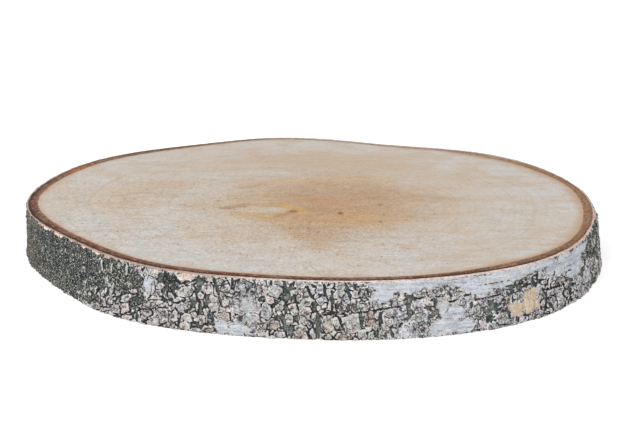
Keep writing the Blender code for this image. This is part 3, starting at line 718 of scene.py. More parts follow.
class Finish:
    """A material with one Principled shader, and the nodes that feed it."""

    def __init__(self, name, roughness, specular):
        self.material = bpy.data.materials.new(name)
        self.material.use_nodes = True
        self.tree = self.material.node_tree
        self.shader = self.tree.nodes["Principled BSDF"]
        self.shader.inputs["Roughness"].default_value = roughness
        self.shader.inputs["Specular IOR Level"].default_value = specular
        self.place = self.node("ShaderNodeTexCoord", {}, {}, "Object")
        apart = self.node("ShaderNodeSeparateXYZ", {}, {"Vector": self.stretched()}, "X")
        self.east = apart - MIDDLE[0] / MM
        self.north = Value(self, apart.socket.node.outputs["Y"]) - MIDDLE[1] / MM

    def node(self, kind, settings, sockets, output=0):
        """Adds a node: its settings are set first, then the values or links of its sockets."""
        made = self.tree.nodes.new(kind)
        for name, setting in settings.items():
            if name == "stops":
                self.set_stops(made.color_ramp, setting)
            else:
                setattr(made, name, setting)
        for name, value in sockets.items():
            if isinstance(value, Value):
                self.tree.links.new(value.socket, made.inputs[name])
            else:
                made.inputs[name].default_value = value
        return Value(self, made.outputs[output])

    def set_stops(self, ramp, stops):
        """Gives a ramp its stops: the position and colour of each."""
        while len(ramp.elements) < len(stops):
            ramp.elements.new(0.5)
        for element, (position, colour) in zip(ramp.elements, stops):
            element.position = position
            element.color = colour

    def kept(self, name):
        """A value that the piece keeps for each of its corners."""
        return self.node("ShaderNodeAttribute", {"attribute_name": name}, {}, "Fac")

    def stretched(self, x=1.0, y=1.0, z=1.0):
        """The place on the piece, in millimetres, scaled along each axis."""
        scale = tuple(part / MM for part in (x, y, z))
        return self.node("ShaderNodeMapping", {}, {"Vector": self.place, "Scale": scale})

    def grain(self, size, detail, seed, rough=0.5, stretch=(1.0, 1.0, 1.0)):
        """Noise from about 0 to 1 whose lumps are size millimetres across."""
        return self.node("ShaderNodeTexNoise", {"noise_dimensions": "4D"},
                         {"Vector": self.stretched(*stretch), "W": seed, "Scale": 1.0 / size,
                          "Detail": detail, "Roughness": rough}, "Fac")

    def cells(self, size, dimensions, stretch):
        """Distance to the nearest of many scattered points that are about size millimetres apart."""
        return self.node("ShaderNodeTexVoronoi", {"voronoi_dimensions": dimensions},
                         {"Vector": self.stretched(*stretch), "Scale": 1.0 / size}, "Distance")

    def flakes(self, size, feature, output):
        """Cells that are size millimetres across, with their borders bent by noise."""
        wobble = self.node("ShaderNodeTexNoise", {},
                           {"Vector": self.stretched(), "Scale": 1.2 / size, "Detail": 2.0}, "Color")
        bent = self.node("ShaderNodeVectorMath", {"operation": "MULTIPLY_ADD"},
                         {0: wobble, 1: (1.6 * size,) * 3, 2: self.stretched()}, "Vector")
        return self.node("ShaderNodeTexVoronoi", {"feature": feature},
                         {"Vector": bent, "Scale": 1.0 / size}, output)

    def hues(self, size):
        """A random colour for each flake."""
        return self.flakes(size, "F1", "Color")

    def seams(self, size):
        """Distance to the border of the flake."""
        return self.flakes(size, "DISTANCE_TO_EDGE", "Distance")

    def ease(self, value, low, high):
        """0 below low, 1 above high, and an even S between them."""
        return self.node("ShaderNodeMapRange", {"interpolation_type": "SMOOTHSTEP"},
                         {"Value": value, "From Min": low, "From Max": high})

    def shade(self, colour, value, strength):
        """The colour made lighter where the value is over a half, and darker where it is under."""
        return self.node("ShaderNodeVectorMath", {"operation": "SCALE"},
                         {0: colour, "Scale": 1.0 + (value - 0.5) * strength}, "Vector")

    def tinted(self, colour, hues, strength):
        """The colour with each cell of a field of random hues a little more red, green or blue."""
        leaning = self.node("ShaderNodeVectorMath", {"operation": "MULTIPLY_ADD"},
                            {0: hues, 1: (strength,) * 3, 2: (1.0 - strength / 2.0,) * 3}, "Vector")
        return self.node("ShaderNodeVectorMath", {"operation": "MULTIPLY"},
                         {0: colour, 1: leaning}, "Vector")

    def mix(self, share, first, second):
        """The first colour turned into the second by the share."""
        return self.node("ShaderNodeMix", {"data_type": "RGBA"}, {0: share, 6: first, 7: second}, 2)

    def coats(self, colour, *coats):
        """The colour under coats of others, laid on one after another. Each has its colour, the share
        that it hides at most, and a value with the two levels between which it goes from none to that."""
        for coat, share, value, low, high in coats:
            colour = self.mix(self.ease(value, low, high) * share, colour, coat)
        return colour

    def ramp(self, value, *stops):
        """A colour for a value from 0 to 1."""
        return self.node("ShaderNodeValToRGB", {"stops": stops}, {"Fac": value}, "Color")

    def spot(self, at, x, y, half_x, half_y, turn, soft, ragged=0.0):
        """A soft-edged oval mark on the sawn face, in millimetres from the middle of the outline, where
        at is each place's own distance east and north of it."""
        east, north = at[0] - x, at[1] - y
        cos, sin = math.cos(math.radians(turn)), math.sin(math.radians(turn))
        long = (east * cos + north * sin) / half_x
        wide = (north * cos - east * sin) / half_y
        return 1.0 - self.ease((long * long + wide * wide) ** 0.5 + ragged, 1.0 - soft, 1.0 + soft)

    def paint(self, colour, height, relief):
        """Feeds the shader, with a bump as deep as relief where height goes from 0 to 1."""
        bump = self.node("ShaderNodeBump", {}, {"Height": height, "Distance": relief, "Strength": 1.0})
        self.tree.links.new(colour.socket, self.shader.inputs["Base Color"])
        self.tree.links.new(bump.socket, self.shader.inputs["Normal"])
        return self.material


# Colours of the wood
CREAM_WOOD = tone(196, 186, 174)
COOL_WOOD = tone(196, 193, 189)
WARM_WOOD = tone(192, 170, 145)
ROSY_WOOD = tone(194, 166, 144)
HEART_WOOD = tone(173, 136, 97)
OCHRE_WOOD = tone(196, 154, 98)
DARK_PITH = tone(112, 82, 46)
BROWN_STREAK = tone(164, 132, 100)
GREY_STREAK = tone(168, 156, 142)
RIM_WOOD = tone(184, 150, 120)
PALE_LENS = tone(198, 184, 164)
LENS_WHITE = tone(202, 194, 182)
ROSY_HEART = tone(190, 136, 98)

# Stains on the sawn face: place and half sizes in millimetres, turn in degrees, colour and strength
STAINS = (
    (-104, -12, 26, 22, 0, WARM_WOOD, 0.45), (-86, 24, 13, 13, 20, ROSY_WOOD, 0.75),
    (-70, 62, 34, 13, 10, WARM_WOOD, 0.5), (0, 84, 60, 16, 0, WARM_WOOD, 0.95),
    (-10, 66, 26, 6, 0, BROWN_STREAK, 0.22), (34, 62, 40, 16, -10, WARM_WOOD, 0.7),
    (-35, 108, 16, 12, 0, ROSY_WOOD, 0.3), (-26, 0, 40, 34, 0, WARM_WOOD, 0.6),
    (86, 44, 20, 16, 0, WARM_WOOD, 0.35), (92, -88, 26, 14, 30, WARM_WOOD, 0.4),
    (-60, 12, 15, 15, 20, COOL_WOOD, 0.8), (-70, -32, 17, 13, 0, COOL_WOOD, 0.8),
    (-128, 30, 10, 26, 12, COOL_WOOD, 0.6), (-118, -46, 14, 18, 30, COOL_WOOD, 0.8),
    (-72, -92, 40, 13, -20, COOL_WOOD, 0.7), (-20, -116, 44, 10, 0, COOL_WOOD, 0.55),
    (44, -76, 34, 8, 4, COOL_WOOD, 0.6), (104, -30, 22, 40, 0, COOL_WOOD, 0.25),
    (8, -12, 66, 66, 0, WARM_WOOD, 1), (10, -14, 42, 48, 0, HEART_WOOD, 0.68),
    (4, -33, 20, 14, 0, HEART_WOOD, 0.55), (-112, 14, 34, 9, 0, WARM_WOOD, 0.5),
    (18, 6, 32, 24, 0, HEART_WOOD, 0.25), (10, -9, 16, 7, 0, ROSY_HEART, 0.6),
    (0, 34, 34, 6, 4, OCHRE_WOOD, 0.3), (64, -3, 17, 6, -14, HEART_WOOD, 0.55),
    (2, -72, 13, 17, 12, HEART_WOOD, 0.5), (20, -45, 28, 11, 6, OCHRE_WOOD, 0.42),
    (56, -34, 16, 7, 0, HEART_WOOD, 0.3), (-20, -40, 20, 6, -16, OCHRE_WOOD, 0.5),
    (-2, 8, 17, 2.6, 2, GREY_STREAK, 0.5), (-18, 20, 22, 2.2, 4, GREY_STREAK, 0.3),
    (6, 48, 34, 2.4, 0, GREY_STREAK, 0.35), (34, -76, 20, 3, 8, GREY_STREAK, 0.45),
    (-92, 4, 18, 2.5, 4, BROWN_STREAK, 0.25),
)
# Sharper marks by the pith and the branch trace, in the same way
PITH_MARKS = (
    (-13, -19, 13, 3.6, -46, OCHRE_WOOD, 0.8), (-7, -28, 5, 2.6, -10, OCHRE_WOOD, 0.5),
    (-28, -27.5, 11, 7, -4, PALE_LENS, 0.55), (-20, -25.5, 7, 3.6, -4, LENS_WHITE, 0.5),
    (-41, -18.5, 9, 3, 26, BROWN_STREAK, 0.7), (-47, -22, 4, 2.4, -20, BROWN_STREAK, 0.6),
    (-29, -35.5, 14, 2.2, -6, OCHRE_WOOD, 0.45), (-34, -31.5, 14, 1.6, -12, BROWN_STREAK, 0.3),
    (-35.2, 22.6, 9, 2.6, 30, BROWN_STREAK, 0.5), (-72, 26, 6, 5, 0, ROSY_WOOD, 0.5),
    (-10, -29, 5, 5, 0, OCHRE_WOOD, 0.75), (-10.6, -29, 2.6, 3.4, 0, DARK_PITH, 0.75),
    (-15, -34.5, 6, 2.4, 40, BROWN_STREAK, 0.7), (-4, -33, 6, 3, 0, OCHRE_WOOD, 0.6),
    (14.8, -31.5, 4, 4.4, 0, OCHRE_WOOD, 0.6), (14.8, -32, 1.5, 2.6, 0, DARK_PITH, 0.9),
    (36.5, -16, 1.2, 1.4, 0, DARK_PITH, 0.7), (37.7, -35, 0.8, 1.2, 0, DARK_PITH, 0.7),
    (35.8, -48, 0.9, 1.3, 0, DARK_PITH, 0.75), (-52, -8, 1.1, 1.2, 0, DARK_PITH, 0.6),
    (65, -33, 0.8, 1, 0, DARK_PITH, 0.6), (-2, -60, 0.9, 2.4, 0, DARK_PITH, 0.4),
    (3, -66, 0.8, 1.6, 0, DARK_PITH, 0.45), (-76, 2, 0.8, 0.9, 0, DARK_PITH, 0.5),
    (-61, 4, 0.8, 0.9, 0, DARK_PITH, 0.5),
)


def sawn_wood():
    """Cream wood with a tan heart, soft stains, faint rings, pith marks and a branch trace."""
    finish = Finish("sawn_birch_wood", roughness=0.62, specular=0.3)
    age = finish.kept("age")
    cloud = finish.grain(42.0, 4.0, seed=1.0)
    patch = finish.grain(12.0, 4.0, seed=2.0, rough=0.6)
    streak = finish.grain(7.0, 4.0, seed=4.0, rough=0.6, stretch=(0.2, 1.0, 1.0))
    fibre = finish.grain(1.3, 3.0, seed=3.0, rough=0.75)
    dash = finish.grain(3.4, 4.0, seed=6.0, rough=0.75, stretch=(0.4, 1.0, 1.0))
    colour = finish.coats(
        CREAM_WOOD,
        (COOL_WOOD, 1.0, cloud + streak.swing(0.5), 0.36, 0.64),
        (WARM_WOOD, 0.65, patch + streak.swing(1.2), 0.4, 0.7))

    drifted = (finish.east + finish.grain(22.0, 2.0, seed=7.0).swing(26.0) + streak.swing(10.0),
               finish.north + finish.grain(22.0, 2.0, seed=8.0).swing(26.0) + patch.swing(8.0))
    uneven = 0.7 + finish.ease(streak, 0.32, 0.62) * 0.3
    for *place, stain, share in STAINS:
        colour = finish.mix(finish.spot(drifted, *place, soft=0.6) * uneven * share, colour, stain)
    plain = (finish.east, finish.north)
    ragged = fibre.swing(0.9) + streak.swing(0.9)
    for *place, mark, share in PITH_MARKS:
        colour = finish.mix(finish.spot(plain, *place, soft=0.55, ragged=ragged) * share, colour, mark)

    ring = finish.node("ShaderNodeTexNoise", {"noise_dimensions": "1D"},
                       {"W": age * GROWTH_RINGS + patch.swing(0.8), "Scale": 1.0, "Detail": 2.0}, "Fac")
    colour = finish.coats(
        colour,
        (BROWN_STREAK, 0.13, ring, 0.54, 0.72),
        (BROWN_STREAK, 0.3, dash, 0.53, 0.68))
    plainer = ((1.0 - finish.ease(finish.north, 0.0, 90.0) * 0.55)
               * (1.0 - finish.ease(finish.east, 20.0, 90.0) * 0.45))
    colour = finish.shade(colour, dash, plainer * 0.75)
    colour = finish.shade(colour, fibre, plainer * 1.3)

    specks, pepper, dots = (finish.cells(size, "2D", (1.0, 0.6, 1.0)) for size in (7.0, 3.6, 2.6))
    peppered = finish.ease(patch + streak.swing(1.0), 0.44, 0.56)
    below_pith = finish.spot(plain, 2.0, -62.0, 34.0, 17.0, 0.0, soft=0.4, ragged=patch.swing(1.2))
    right = finish.ease(finish.east, 40.0, 110.0)
    rim = age + patch.swing(0.05) + streak.swing(0.04) + right * 0.01
    colour = finish.coats(
        colour,
        (DARK_PITH, finish.ease(patch, 0.48, 0.58) * plainer * 0.6, specks, 0.09, 0.05),
        (DARK_PITH, peppered * plainer * 0.28, pepper, 0.15, 0.08),
        (DARK_PITH, below_pith * 0.5, dots, 0.2, 0.1),
        (RIM_WOOD, 0.6 + right * 0.4, rim, 0.962, 1.022))
    return finish.paint(colour, fibre * 0.4 + dash * 0.4 + ring * 0.2, 0.1 * MM)


# Colours of the inner bark
BARK_BROWN = tone(102, 67, 50)
BARK_DARK = tone(72, 43, 30)
BARK_RED = tone(134, 94, 76)
BARK_TAN = tone(168, 133, 113)
BARK_PALE = tone(180, 160, 142)
BARK_ORANGE = tone(168, 112, 68)
BARK_BLACK = tone(48, 34, 28)
BARK_YELLOW = tone(160, 122, 86)
BARK_LIP = tone(178, 124, 86)


def inner_bark():
    """Reddish brown, fibrous and crumbly, darkest by the cork and paler at the back of the slice."""
    finish = Finish("inner_bark", roughness=0.85, specular=0.2)
    depth, pale = finish.kept("depth"), finish.kept("pale")
    crumb = finish.grain(1.0, 3.0, seed=5.0, rough=0.65)
    lump = finish.grain(3.2, 3.0, seed=6.0, rough=0.6)
    along = finish.grain(16.0, 3.0, seed=7.0, rough=0.6)
    clump = finish.grain(1.6, 2.0, seed=21.0, rough=0.6)
    right = finish.ease(finish.east, 100.0, 135.0)
    back_left = finish.spot((finish.east, finish.north), -138.0, 60.0, 12.0, 34.0, 24.0, soft=0.4)
    colour = finish.ramp(depth + lump.swing(0.7), (0.05, BARK_TAN), (0.34, BARK_RED),
                         (0.62, BARK_BROWN), (0.92, BARK_DARK))
    colour = finish.coats(
        colour,
        (BARK_TAN, 0.4, along, 0.5, 0.66),
        (BARK_PALE, 0.9, pale + along.swing(0.5) + lump.swing(0.4), 0.0, 1.0))
    colour = finish.mix(right * 0.5, colour, BARK_YELLOW)
    colour = finish.mix(back_left * 0.85, colour, BARK_ORANGE)
    colour = finish.coats(
        colour,
        (finish.mix(right, BARK_TAN, BARK_ORANGE), 0.55, clump, 0.53, 0.6),
        (BARK_DARK, 0.6, clump, 0.46, 0.4),
        (BARK_TAN, 0.5, crumb, 0.55, 0.68),
        (BARK_BLACK, 0.6, crumb, 0.46, 0.36),
        (BARK_BLACK, (1.0 - pale) * (0.7 - right * 0.3), depth + crumb.swing(0.4), 0.68, 0.9),
        (BARK_BLACK, finish.ease(along, 0.46, 0.56) * 0.35, abs(depth + lump.swing(0.3) - 0.42), 0.1, 0.03),
        (BARK_LIP, finish.ease(lump, 0.4, 0.6) * 0.6, depth + crumb.swing(0.2), 0.34, 0.2))
    return finish.paint(colour, crumb * 0.6 + lump * 0.4, 0.6 * MM)


# Colours of the outer bark
FISSURE_DARK = tone(36, 35, 38)
# Painted shade at the feet of the plates
PLATE_FOOT_SHADE = tone(38, 33, 38)
FISSURE_TEAL = tone(66, 77, 80)
FISSURE_OLIVE = tone(92, 94, 87)
FISSURE_CRUMB = tone(160, 160, 154)
LAVENDER = tone(192, 194, 202)
PLATE_GREY = tone(160, 161, 164)
PLATE_CREAM = tone(198, 193, 188)
PLATE_PINK = tone(192, 180, 175)
PLATE_TAN = tone(178, 163, 145)
PLATE_PEACH = tone(190, 166, 154)
PLATE_ORANGE = tone(170, 138, 106)
PLATE_DULL = tone(132, 132, 133)
PLATE_WHITE = tone(224, 221, 220)
PLATE_GREEN = tone(158, 164, 150)
PLATE_ROSE = tone(206, 190, 184)
# The dark of pits, pores and seams, also used as painted shade in the paper's hollows
PIT_DARK_AND_SHADE = tone(50, 47, 47)
PAPER_WHITE = tone(186, 191, 202)
PAPER_GREY = tone(148, 151, 158)
PAPER_CREAM = tone(190, 189, 182)
MOSS_DARK = tone(18, 34, 38)
MOSS_OLIVE = tone(27, 32, 26)
MOSS_BLACK = tone(16, 22, 24)
MOSS_MID = tone(50, 56, 42)
MOSS_LIGHT = tone(196, 198, 188)
MOSS_BROWN = tone(96, 84, 74)
CORK_PEACH = tone(196, 172, 156)
CORK_CREAM = tone(230, 214, 204)
CORK_ORANGE = tone(186, 144, 118)
CORK_BROWN = tone(132, 98, 82)
SCAR_TAN = tone(198, 180, 156)
SCAR_PALE = tone(206, 194, 176)
SCAR_SHADE = tone(182, 156, 128)
CRACK_DARK = tone(38, 33, 34)


class OuterBark(Finish):
    """The finish of the outer bark, with the grains that its colours share."""

    def __init__(self):
        super().__init__("outer_bark", roughness=0.86, specular=0.2)
        self.dust = self.grain(0.45, 1.0, seed=15.0)
        self.crumb = self.grain(0.8, 2.0, seed=11.0, rough=0.6)
        self.mottle = self.grain(1.6, 3.0, seed=17.0, rough=0.65)
        self.lump = self.grain(2.0, 2.0, seed=12.0)
        self.damp = self.grain(5.0, 2.0, seed=18.0)
        self.cloud = self.grain(7.0, 2.0, seed=13.0)
        self.lines = self.grain(3.4, 3.0, seed=14.0, rough=0.6, stretch=(0.14, 0.14, 2.4))
        self.splinter, self.flake = self.hues(0.8), self.hues(1.5)
        self.hollow, self.calm = self.kept("hollow"), self.kept("calm")
        self.far = self.ease(self.east, 70.0, 100.0)
        self.edge = (self.kept("edge") + self.lump.swing(0.25) + self.crumb.swing(0.35)
                     + self.flake.swing(0.15))
        self.craze = self.ease(self.seams(3.4) + self.crumb.swing(0.12), 0.11, 0.04)

    def fissures(self):
        """Dark grey green and crumbly, with painted shade nearly black along the feet of the plates."""
        colour = self.coats(
            FISSURE_TEAL,
            (FISSURE_OLIVE, 1.0, self.cloud, 0.42, 0.58),
            (FISSURE_CRUMB, 0.55, self.flake + self.crumb.swing(2.5), 0.5, 0.8),
            (FISSURE_DARK, 0.45, self.crumb, 0.42, 0.34))
        # Painted shade, nearly black, in the fissure along the foot of each plate
        foot_shade = self.ease(self.mottle, 0.32, 0.44) * (1.0 - self.calm * 0.4) * 0.88
        colour = self.shade(colour, self.splinter, 0.9)
        return self.coats(colour, (PLATE_FOOT_SHADE, foot_shade, self.edge, -0.44, -0.2))

    def plates(self):
        """Lavender, cream, pink or tan, with pale rims, worn middles, layers and fine black cracks."""
        colour = self.ramp(self.kept("tint") + self.cloud.swing(0.2), (0.05, LAVENDER), (0.28, PLATE_GREY),
                           (0.46, PLATE_CREAM), (0.7, PLATE_PINK), (0.84, PLATE_TAN), (0.92, PLATE_PEACH),
                           (1.0, PLATE_ORANGE))
        green = self.damp + self.flake.swing(0.3)
        colour = self.coats(
            colour,
            (PLATE_GREEN, 0.6, green, 0.5, 0.64),
            (PLATE_ROSE, 0.5, green, 0.44, 0.34))
        worn = self.ease(self.mottle + self.flake.swing(0.3), 0.42, 0.62) * (0.7 - self.far * 0.35)
        rims = self.ease(self.lump, 0.4, 0.55) * (0.55 + self.far * 0.45)
        layers = self.ease(self.mottle, 0.46, 0.52) * 0.75
        crazed = self.ease(self.cloud + self.lump.swing(0.6) + self.calm * 0.05, 0.44, 0.54)
        between = self.ease(self.lump + self.cloud.swing(0.6) + self.far * 0.08, 0.46, 0.56)
        colour = self.coats(
            self.shade(colour, self.splinter, 0.95),
            (PLATE_DULL, worn, self.edge, 0.15, 0.7),
            (PLATE_WHITE, rims, self.edge, 0.45, 0.15),
            (PLATE_WHITE, 0.45 + self.far * 0.2, self.dust + self.flake.swing(0.3), 0.52, 0.6),
            (PLATE_DULL, 0.3, self.dust, 0.46, 0.38),
            (PIT_DARK_AND_SHADE, 0.5, self.crumb, 0.39, 0.35),
            (CRACK_DARK, layers, abs(self.edge - 0.55 + self.lump.swing(0.9)), 0.15, 0.06),
            (CRACK_DARK, layers, abs(self.edge - 1.15 + self.lump.swing(0.9)), 0.15, 0.06))
        colour = self.mix(self.craze * crazed * 0.9, colour, CRACK_DARK)
        return self.coats(
            colour,
            (PIT_DARK_AND_SHADE, between * (0.4 + self.far * 0.2), self.seams(1.5), 0.16, 0.04))

    def mosses(self):
        """Dark olive green, blacker where it is damp, with pale flecks and dust, and with painted shade in
        its hollows and painted highlights on its lumps.
        """
        wet = self.ease(self.kept("damp") + self.lump.swing(1.4), 0.2, 0.8)
        colour = self.coats(
            MOSS_OLIVE,
            (MOSS_MID, 1.0, self.cloud + self.lump.swing(0.9) + self.mottle.swing(0.6), 0.4, 0.62),
            (MOSS_BROWN, 0.7, self.lump + self.crumb.swing(0.8), 0.54, 0.68))
        colour = self.coats(
            self.shade(self.mix(wet * 0.9, colour, MOSS_DARK), self.splinter, 1.8),
            (MOSS_BLACK, 0.92, self.crumb, 0.52, 0.43),
            (MOSS_BLACK, 0.88, self.mottle, 0.52, 0.45))
        specks = self.cells(1.0, "3D", (1.0, 1.0, 0.8)) + self.dust.swing(0.4)
        tufts = self.mottle * 0.5 + self.lump * 0.5 + self.damp.swing(0.8) - wet * 0.08
        end = self.ease(self.east + self.cloud.swing(30.0), -138.0, -150.0)
        return self.coats(
            self.shade(colour, self.grain(11.0, 2.0, seed=19.0), 2.2),
            (MOSS_LIGHT, self.ease(tufts, 0.45, 0.52) * 0.95, specks, 0.3, 0.24),
            (MOSS_LIGHT, 0.9, self.dust + self.crumb.swing(0.4), 0.61, 0.66),
            # Painted shade in the moss's hollows, and a painted highlight on its lumps
            (MOSS_DARK, 0.7, self.hollow, 0.05, 0.35),
            (MOSS_LIGHT, 0.3, self.hollow, -0.1, -0.4),
            (MOSS_BROWN, end * 0.5, self.lump, 0.46, 0.56))

    def papers(self):
        """Smooth grey white with fine lines across, pores, a few dark pits and painted shade in its
        hollows.
        """
        pores = self.grain(1.3, 2.0, seed=16.0, rough=0.55, stretch=(0.22, 0.22, 1.6))
        return self.coats(
            PAPER_WHITE,
            (PAPER_GREY, 0.6, self.cloud + self.lump.swing(0.5), 0.44, 0.62),
            (PAPER_CREAM, 0.7, self.damp + self.lump.swing(0.3), 0.5, 0.64),
            (PAPER_GREY, 0.5, self.mottle, 0.52, 0.64),
            (PAPER_GREY, 0.85, self.lines, 0.5, 0.62),
            (PLATE_WHITE, 0.45, self.lines, 0.44, 0.34),
            (PLATE_DULL, 0.7, pores, 0.57, 0.66),
            (PIT_DARK_AND_SHADE, 0.6, pores, 0.66, 0.74),
            (PLATE_WHITE, 0.5, self.dust, 0.52, 0.62),
            (PIT_DARK_AND_SHADE, 0.5, self.crumb, 0.38, 0.3),
            # Painted shade in the paper's hollows
            (PIT_DARK_AND_SHADE, 0.7, self.hollow, 0.08, 0.3))

    def chips(self):
        """Peach and cream, crumbly, where the outermost layers are off."""
        return self.coats(
            CORK_PEACH,
            (CORK_CREAM, 1.0, self.lump, 0.4, 0.6),
            (CORK_BROWN, 0.6, self.crumb, 0.45, 0.34),
            (PLATE_CREAM, 0.6, self.mottle, 0.5, 0.6),
            (PLATE_TAN, 0.6, self.mottle, 0.42, 0.36),
            (PIT_DARK_AND_SHADE, 0.7, self.crumb, 0.4, 0.33))

    def scars(self):
        """Pale tan, with upright fibres."""
        fibres = self.grain(1.4, 3.0, seed=20.0, rough=0.65, stretch=(1.0, 1.0, 0.3))
        colour = self.coats(
            SCAR_TAN,
            (SCAR_PALE, 0.7, self.lump, 0.42, 0.62),
            (SCAR_SHADE, 0.7, fibres, 0.5, 0.62),
            (SCAR_PALE, 0.6, fibres, 0.42, 0.32))
        colour = self.mix(self.craze * 0.35, colour, CORK_BROWN)
        return self.coats(colour, (PIT_DARK_AND_SHADE, 0.35, self.crumb, 0.4, 0.33))

    def sawn_edges(self):
        """The pale cork on the cut face, more orange to the right and browner to the left."""
        left = self.ease(self.east, -50.0, -110.0)
        return self.coats(
            CORK_PEACH,
            (CORK_CREAM, 1.0, self.east + self.cloud.swing(60.0), -50.0, -20.0),
            (CORK_ORANGE, 0.4, self.lump + self.cloud.swing(0.7), 0.5, 0.62),
            (CORK_ORANGE, 0.4, self.east, 90.0, 140.0),
            (CORK_BROWN, 0.4 + left * 0.35, self.mottle, 0.52, 0.58),
            (CORK_BROWN, 0.6, self.crumb, 0.46, 0.38))


def outer_bark():
    """Plates in dark fissures, with moss, papery patches, chips, scars, cracks and the sawn cork, and with
    painted shade in hollows and painted highlights on what stands out.
    """
    finish = OuterBark()
    crumb, chip = finish.crumb, finish.kept("chip")
    colour = finish.mix(finish.ease(finish.edge, -0.06, 0.06), finish.fissures(), finish.plates())
    # Painted shade in the hollows of the side, and a painted highlight on what stands out
    colour = finish.coats(
        colour,
        (FISSURE_DARK, 0.4, finish.hollow + crumb.swing(0.3), 0.2, 0.6),
        (PLATE_WHITE, 0.4, finish.hollow, -0.14, -0.4))
    colour = finish.coats(
        finish.tinted(colour, finish.flake, 0.09),
        (finish.mosses(), 0.92, finish.kept("moss") + crumb.swing(0.8), 0.3, 0.6),
        (finish.papers(), 1.0, finish.kept("paper") + crumb.swing(0.9), 0.35, 0.55),
        (finish.chips(), 1.0, finish.kept("peach").larger(chip) + crumb.swing(1.7), 0.38, 0.55),
        (finish.scars(), 1.0, finish.kept("scar") + crumb.swing(1.5), 0.35, 0.5),
        (CRACK_DARK, (1.0 - chip) * 0.9, finish.kept("crack") + crumb.swing(0.5), 0.16, -0.06),
        (finish.sawn_edges(), 1.0, finish.kept("cut") + crumb.swing(0.25), 0.45, 0.6))
    crumbs = crumb * 0.5 + finish.lump * 0.25 + finish.dust * 0.25
    return finish.paint(colour, crumbs + finish.lines * finish.kept("paper") * 0.3, 0.3 * MM)


# Pieces

def make_wood():
    """The sawn disc, its rows of corners running from the pith out to the bark."""
    rows = [row / WOOD_ROWS for row in range(WOOD_ROWS + 1)]
    profile = [(share, THICKNESS) for share in rows] + [(1.0, THICKNESS / 2.0)]
    profile += [(share, 0.0) for share in reversed(rows)]
    piece = make_piece("wood_disc", rolled(profile, WOOD_STEPS), sawn_wood(), "wood")
    angle, share, height = corners_of(piece)
    turn = np.radians(angle)
    across = turn % (2.0 * math.pi) * MEAN_RADIUS
    radius = rim_radius(angle) - round_the_ring(angle, WOOD_END) * MM
    radius += WOOD_WAVER * rough_noise(across, across * 0.0, 5.0 * MM, 211)
    x = PITH[0] + share * (radius * np.cos(turn) - PITH[0])
    y = PITH[1] + share * (radius * np.sin(turn) - PITH[1])
    worn = FACE_WEAR * np.sin(x / (9.0 * MM)) * np.sin(y / (11.0 * MM) + 1.0) * ease(0.0, 0.03, 1.0 - share)
    dips = sum(depth * MM * np.exp(-((x - at_x * MM) ** 2 + (y - at_y * MM) ** 2) / (size * MM) ** 2)
               for at_x, at_y, size, depth in PITH_DIPS)
    height = np.where(height > THICKNESS * 0.75, height - FACE_WEAR - dips + worn, height)
    place_corners(piece, np.degrees(np.arctan2(y, x)), np.hypot(x, y), height, 40)
    note(piece, age=share)


def make_inner_bark():
    """The ring of inner bark. It laps just under the wood's edge, and the outer bark laps under it. On the
    underside only what is bare between the laps comes down to the base."""
    top, base = THICKNESS - INNER_BARK_DROP, INNER_BARK_DROP
    profile = [(1.0 + share, top) for share in INNER_BARK_SHARES]
    profile += [(1.0 + share, base) for share in reversed(INNER_BARK_SHARES)]
    piece = make_piece("inner_bark_ring", rolled(profile, RING_STEPS), inner_bark(), "bark")
    angle, radius, height = corners_of(piece)
    share = radius - 1.0
    across = np.radians(angle % 360.0) * MEAN_RADIUS
    inner = rim_radius(angle) - round_the_ring(angle, WOOD_END) * MM - LAP
    outer = rim_radius(angle) - round_the_ring(angle, CORK_WIDTH) * MM
    outer += CORK_WAVER * rough_noise(across, across * 0.0, 4.0 * MM, 121)
    crumbly = CRUMB_HEIGHT * noise(across, share * 6.0 * MM, 1.6 * MM, 131) * ease(0.0, 0.15, share)
    bare = (share > 0.15) & (share < 0.85)
    height = np.where(height > THICKNESS / 2.0, height + crumbly, np.where(bare, 0.0, height))
    place_corners(piece, angle, inner + share * (outer - inner), height, 40)
    note(piece, depth=share, pale=round_the_ring(angle, PALENESS))


def cavity_for_painted_shade(angle, height, relief, on_side):
    """How far each place lies below what is round and above it, in millimetres, more than 0 in a hollow.
    The materials paint shade where it is over 0 and highlights where it is under 0, and it takes more from
    above, as light from above would.
    """
    column = np.round((angle % 360.0) * BARK_STEPS / 360.0).astype(int) % BARK_STEPS
    row = np.clip(np.round(height / THICKNESS * BARK_ROWS), 0, BARK_ROWS).astype(int)
    grid = np.zeros((BARK_STEPS, BARK_ROWS + 1))
    grid[column[on_side], row[on_side]] = relief[on_side]
    evened = grid
    for _ in range(3):
        upper = np.concatenate([evened[:, 1:], evened[:, -1:]], axis=1)
        lower = np.concatenate([evened[:, :1], evened[:, :-1]], axis=1)
        beside = np.roll(evened, 1, axis=0) + np.roll(evened, -1, axis=0)
        # Places under taller ones count as deeper, so the painted shade falls below what stands out above
        evened = (2.0 * evened + 1.4 * upper + 0.8 * lower + beside) / 6.2
    return np.where(on_side, (evened - grid)[column, row], 0.0)


